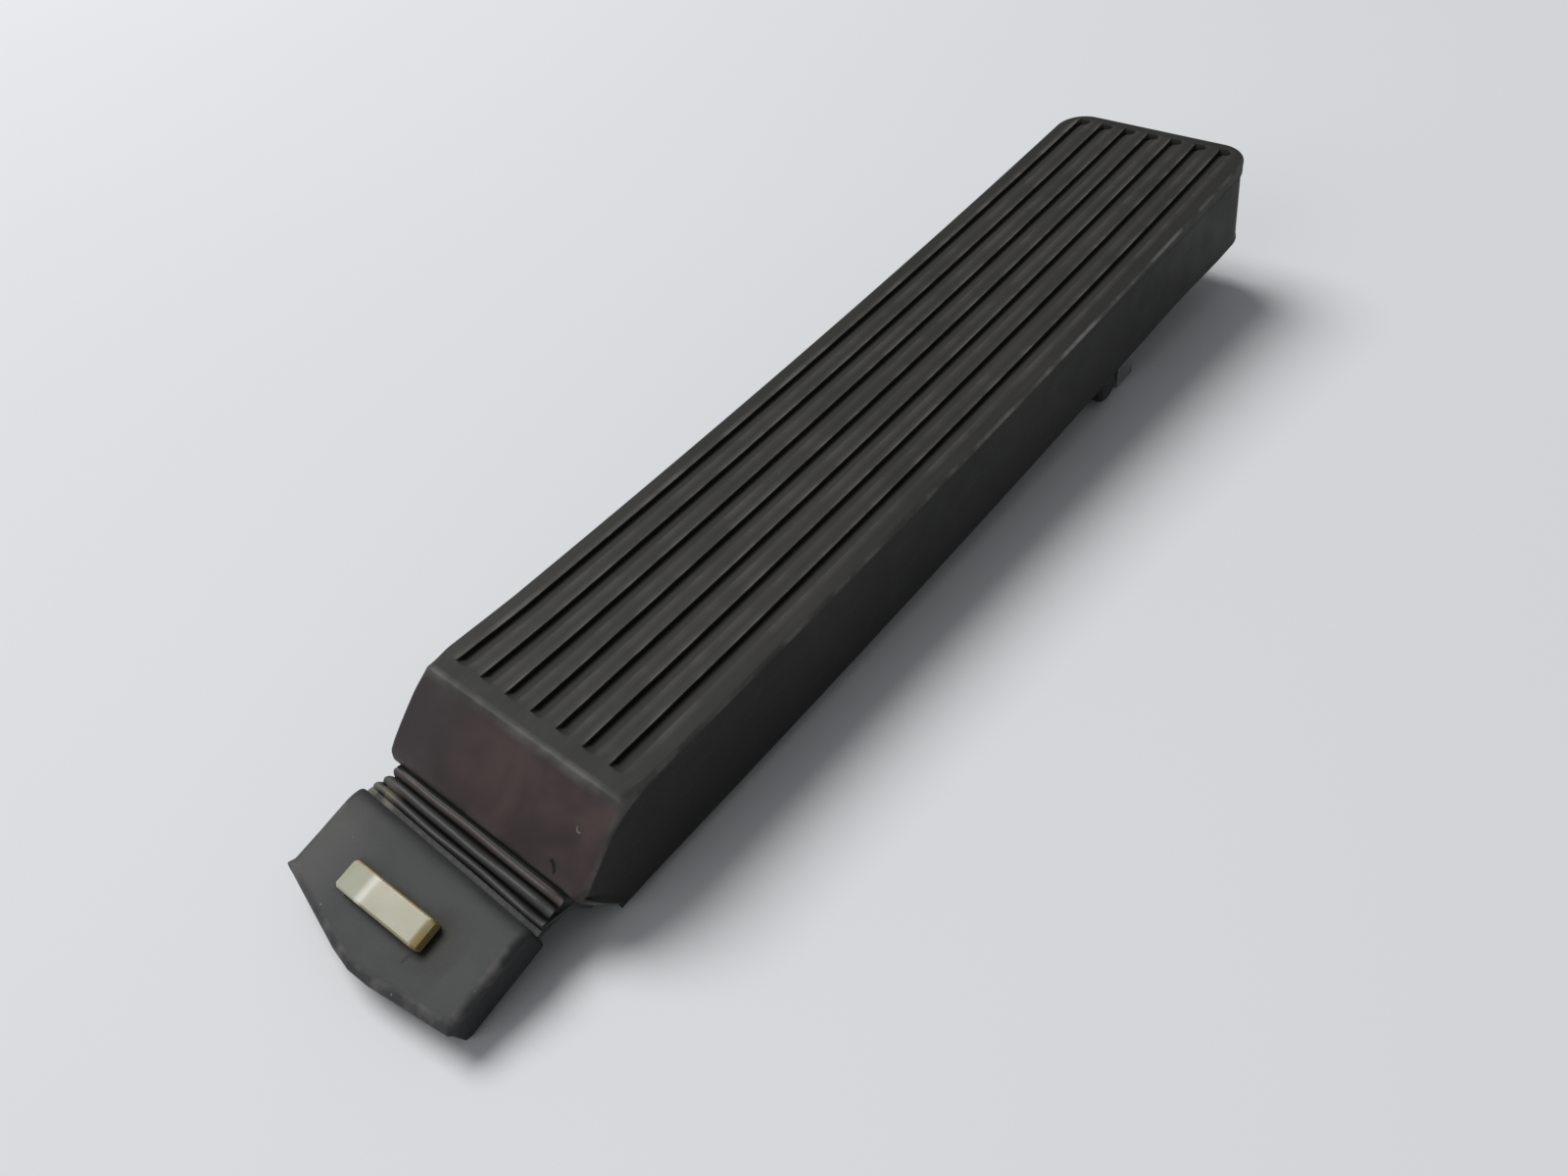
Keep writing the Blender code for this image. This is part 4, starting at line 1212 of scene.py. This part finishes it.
def make_world():
    """Even light from all around, with a paler wall where the camera sees it directly."""
    world = bpy.data.worlds.new("studio")
    world.use_nodes = True
    tree = world.node_tree
    around_it = tree.nodes["Background"]
    around_it.inputs["Color"].default_value = (0.93, 0.96, 1.0, 1.0)
    around_it.inputs["Strength"].default_value = 0.25
    wall = tree.nodes.new("ShaderNodeBackground")
    wall.inputs["Color"].default_value = (*WALL_TONE, 1.0)
    seen = tree.nodes.new("ShaderNodeLightPath")
    choice = tree.nodes.new("ShaderNodeMixShader")
    tree.links.new(seen.outputs["Is Camera Ray"], choice.inputs[0])
    tree.links.new(around_it.outputs[0], choice.inputs[1])
    tree.links.new(wall.outputs[0], choice.inputs[2])
    tree.links.new(choice.outputs[0], tree.nodes["World Output"].inputs["Surface"])
    bpy.context.scene.world = world


def soft_light(name, place, size, power):
    lamp = bpy.data.lights.new(name, "AREA")
    lamp.shape = "DISK"
    lamp.size = size
    lamp.energy = power
    light = new_object(name, lamp)
    light.location = place
    light.rotation_euler = (-Vector(place)).to_track_quat("-Z", "Y").to_euler()


def make_camera():
    lens = bpy.data.cameras.new("view")
    lens.lens = CAMERA_LENS
    lens.sensor_width = 36.0
    lens.clip_start = 0.01
    camera = new_object("view", lens)
    camera.location = CAMERA_PLACE + Vector((0.0, DATUM_Y, 0.0))
    camera.rotation_euler = Euler([radians(turn) for turn in CAMERA_TURN])
    bpy.context.scene.camera = camera


def main():
    make_camera()
    make_studio()
    dress(build_pad_cover(), pad_rubber(), "pedal", "pad_rubber", "pad_cover")
    dress(build_foot(), foot_rubber(), "foot", "foot_rubber", "foot_block")
    dress(build_clip(), clip_nylon(), "foot", "clip_nylon", "retaining_clip")

    bellows = build_bellows()
    bellows.data.materials.append(bellows_rubber())
    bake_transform(bellows)
    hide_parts("hinge_bellows")

    steel = sheet_steel(), "sheet_steel"
    zinc = zinc_steel(), "zinc_steel"
    rubber = roller_rubber(), "roller_rubber"
    for node, edge, (material, slot), body in (
        ("core_frame", 0.00035, (core_nylon(), "core_nylon"), "pedal"),
        ("linkage_bracket", 0.0003, steel, "pedal"),
        ("hinge_clamp", 0.00015, steel, "pedal"),
        ("foot_insert", 0.0002, zinc, "foot"),
        ("washer_inner", 0.0001, zinc, "pedal"),
        ("washer_outer", 0.0001, zinc, "pedal"),
        ("roller_pin", 0.0001, zinc, "pedal"),
        ("pin_cap", 0.0002, rubber, "pedal"),
        ("roller_tyre", 0.00015, rubber, "roller"),
        ("roller_hub", 0.0003, (roller_nylon(), "roller_nylon"), "roller"),
        *((name, 0.00008, zinc, "pedal") for name in frame["nodes"] if "_screw_" in name),
    ):
        piece = refined(node, edge)
        if body == "foot":
            askew(piece)
        dress(piece, material, body, slot, node)


main()
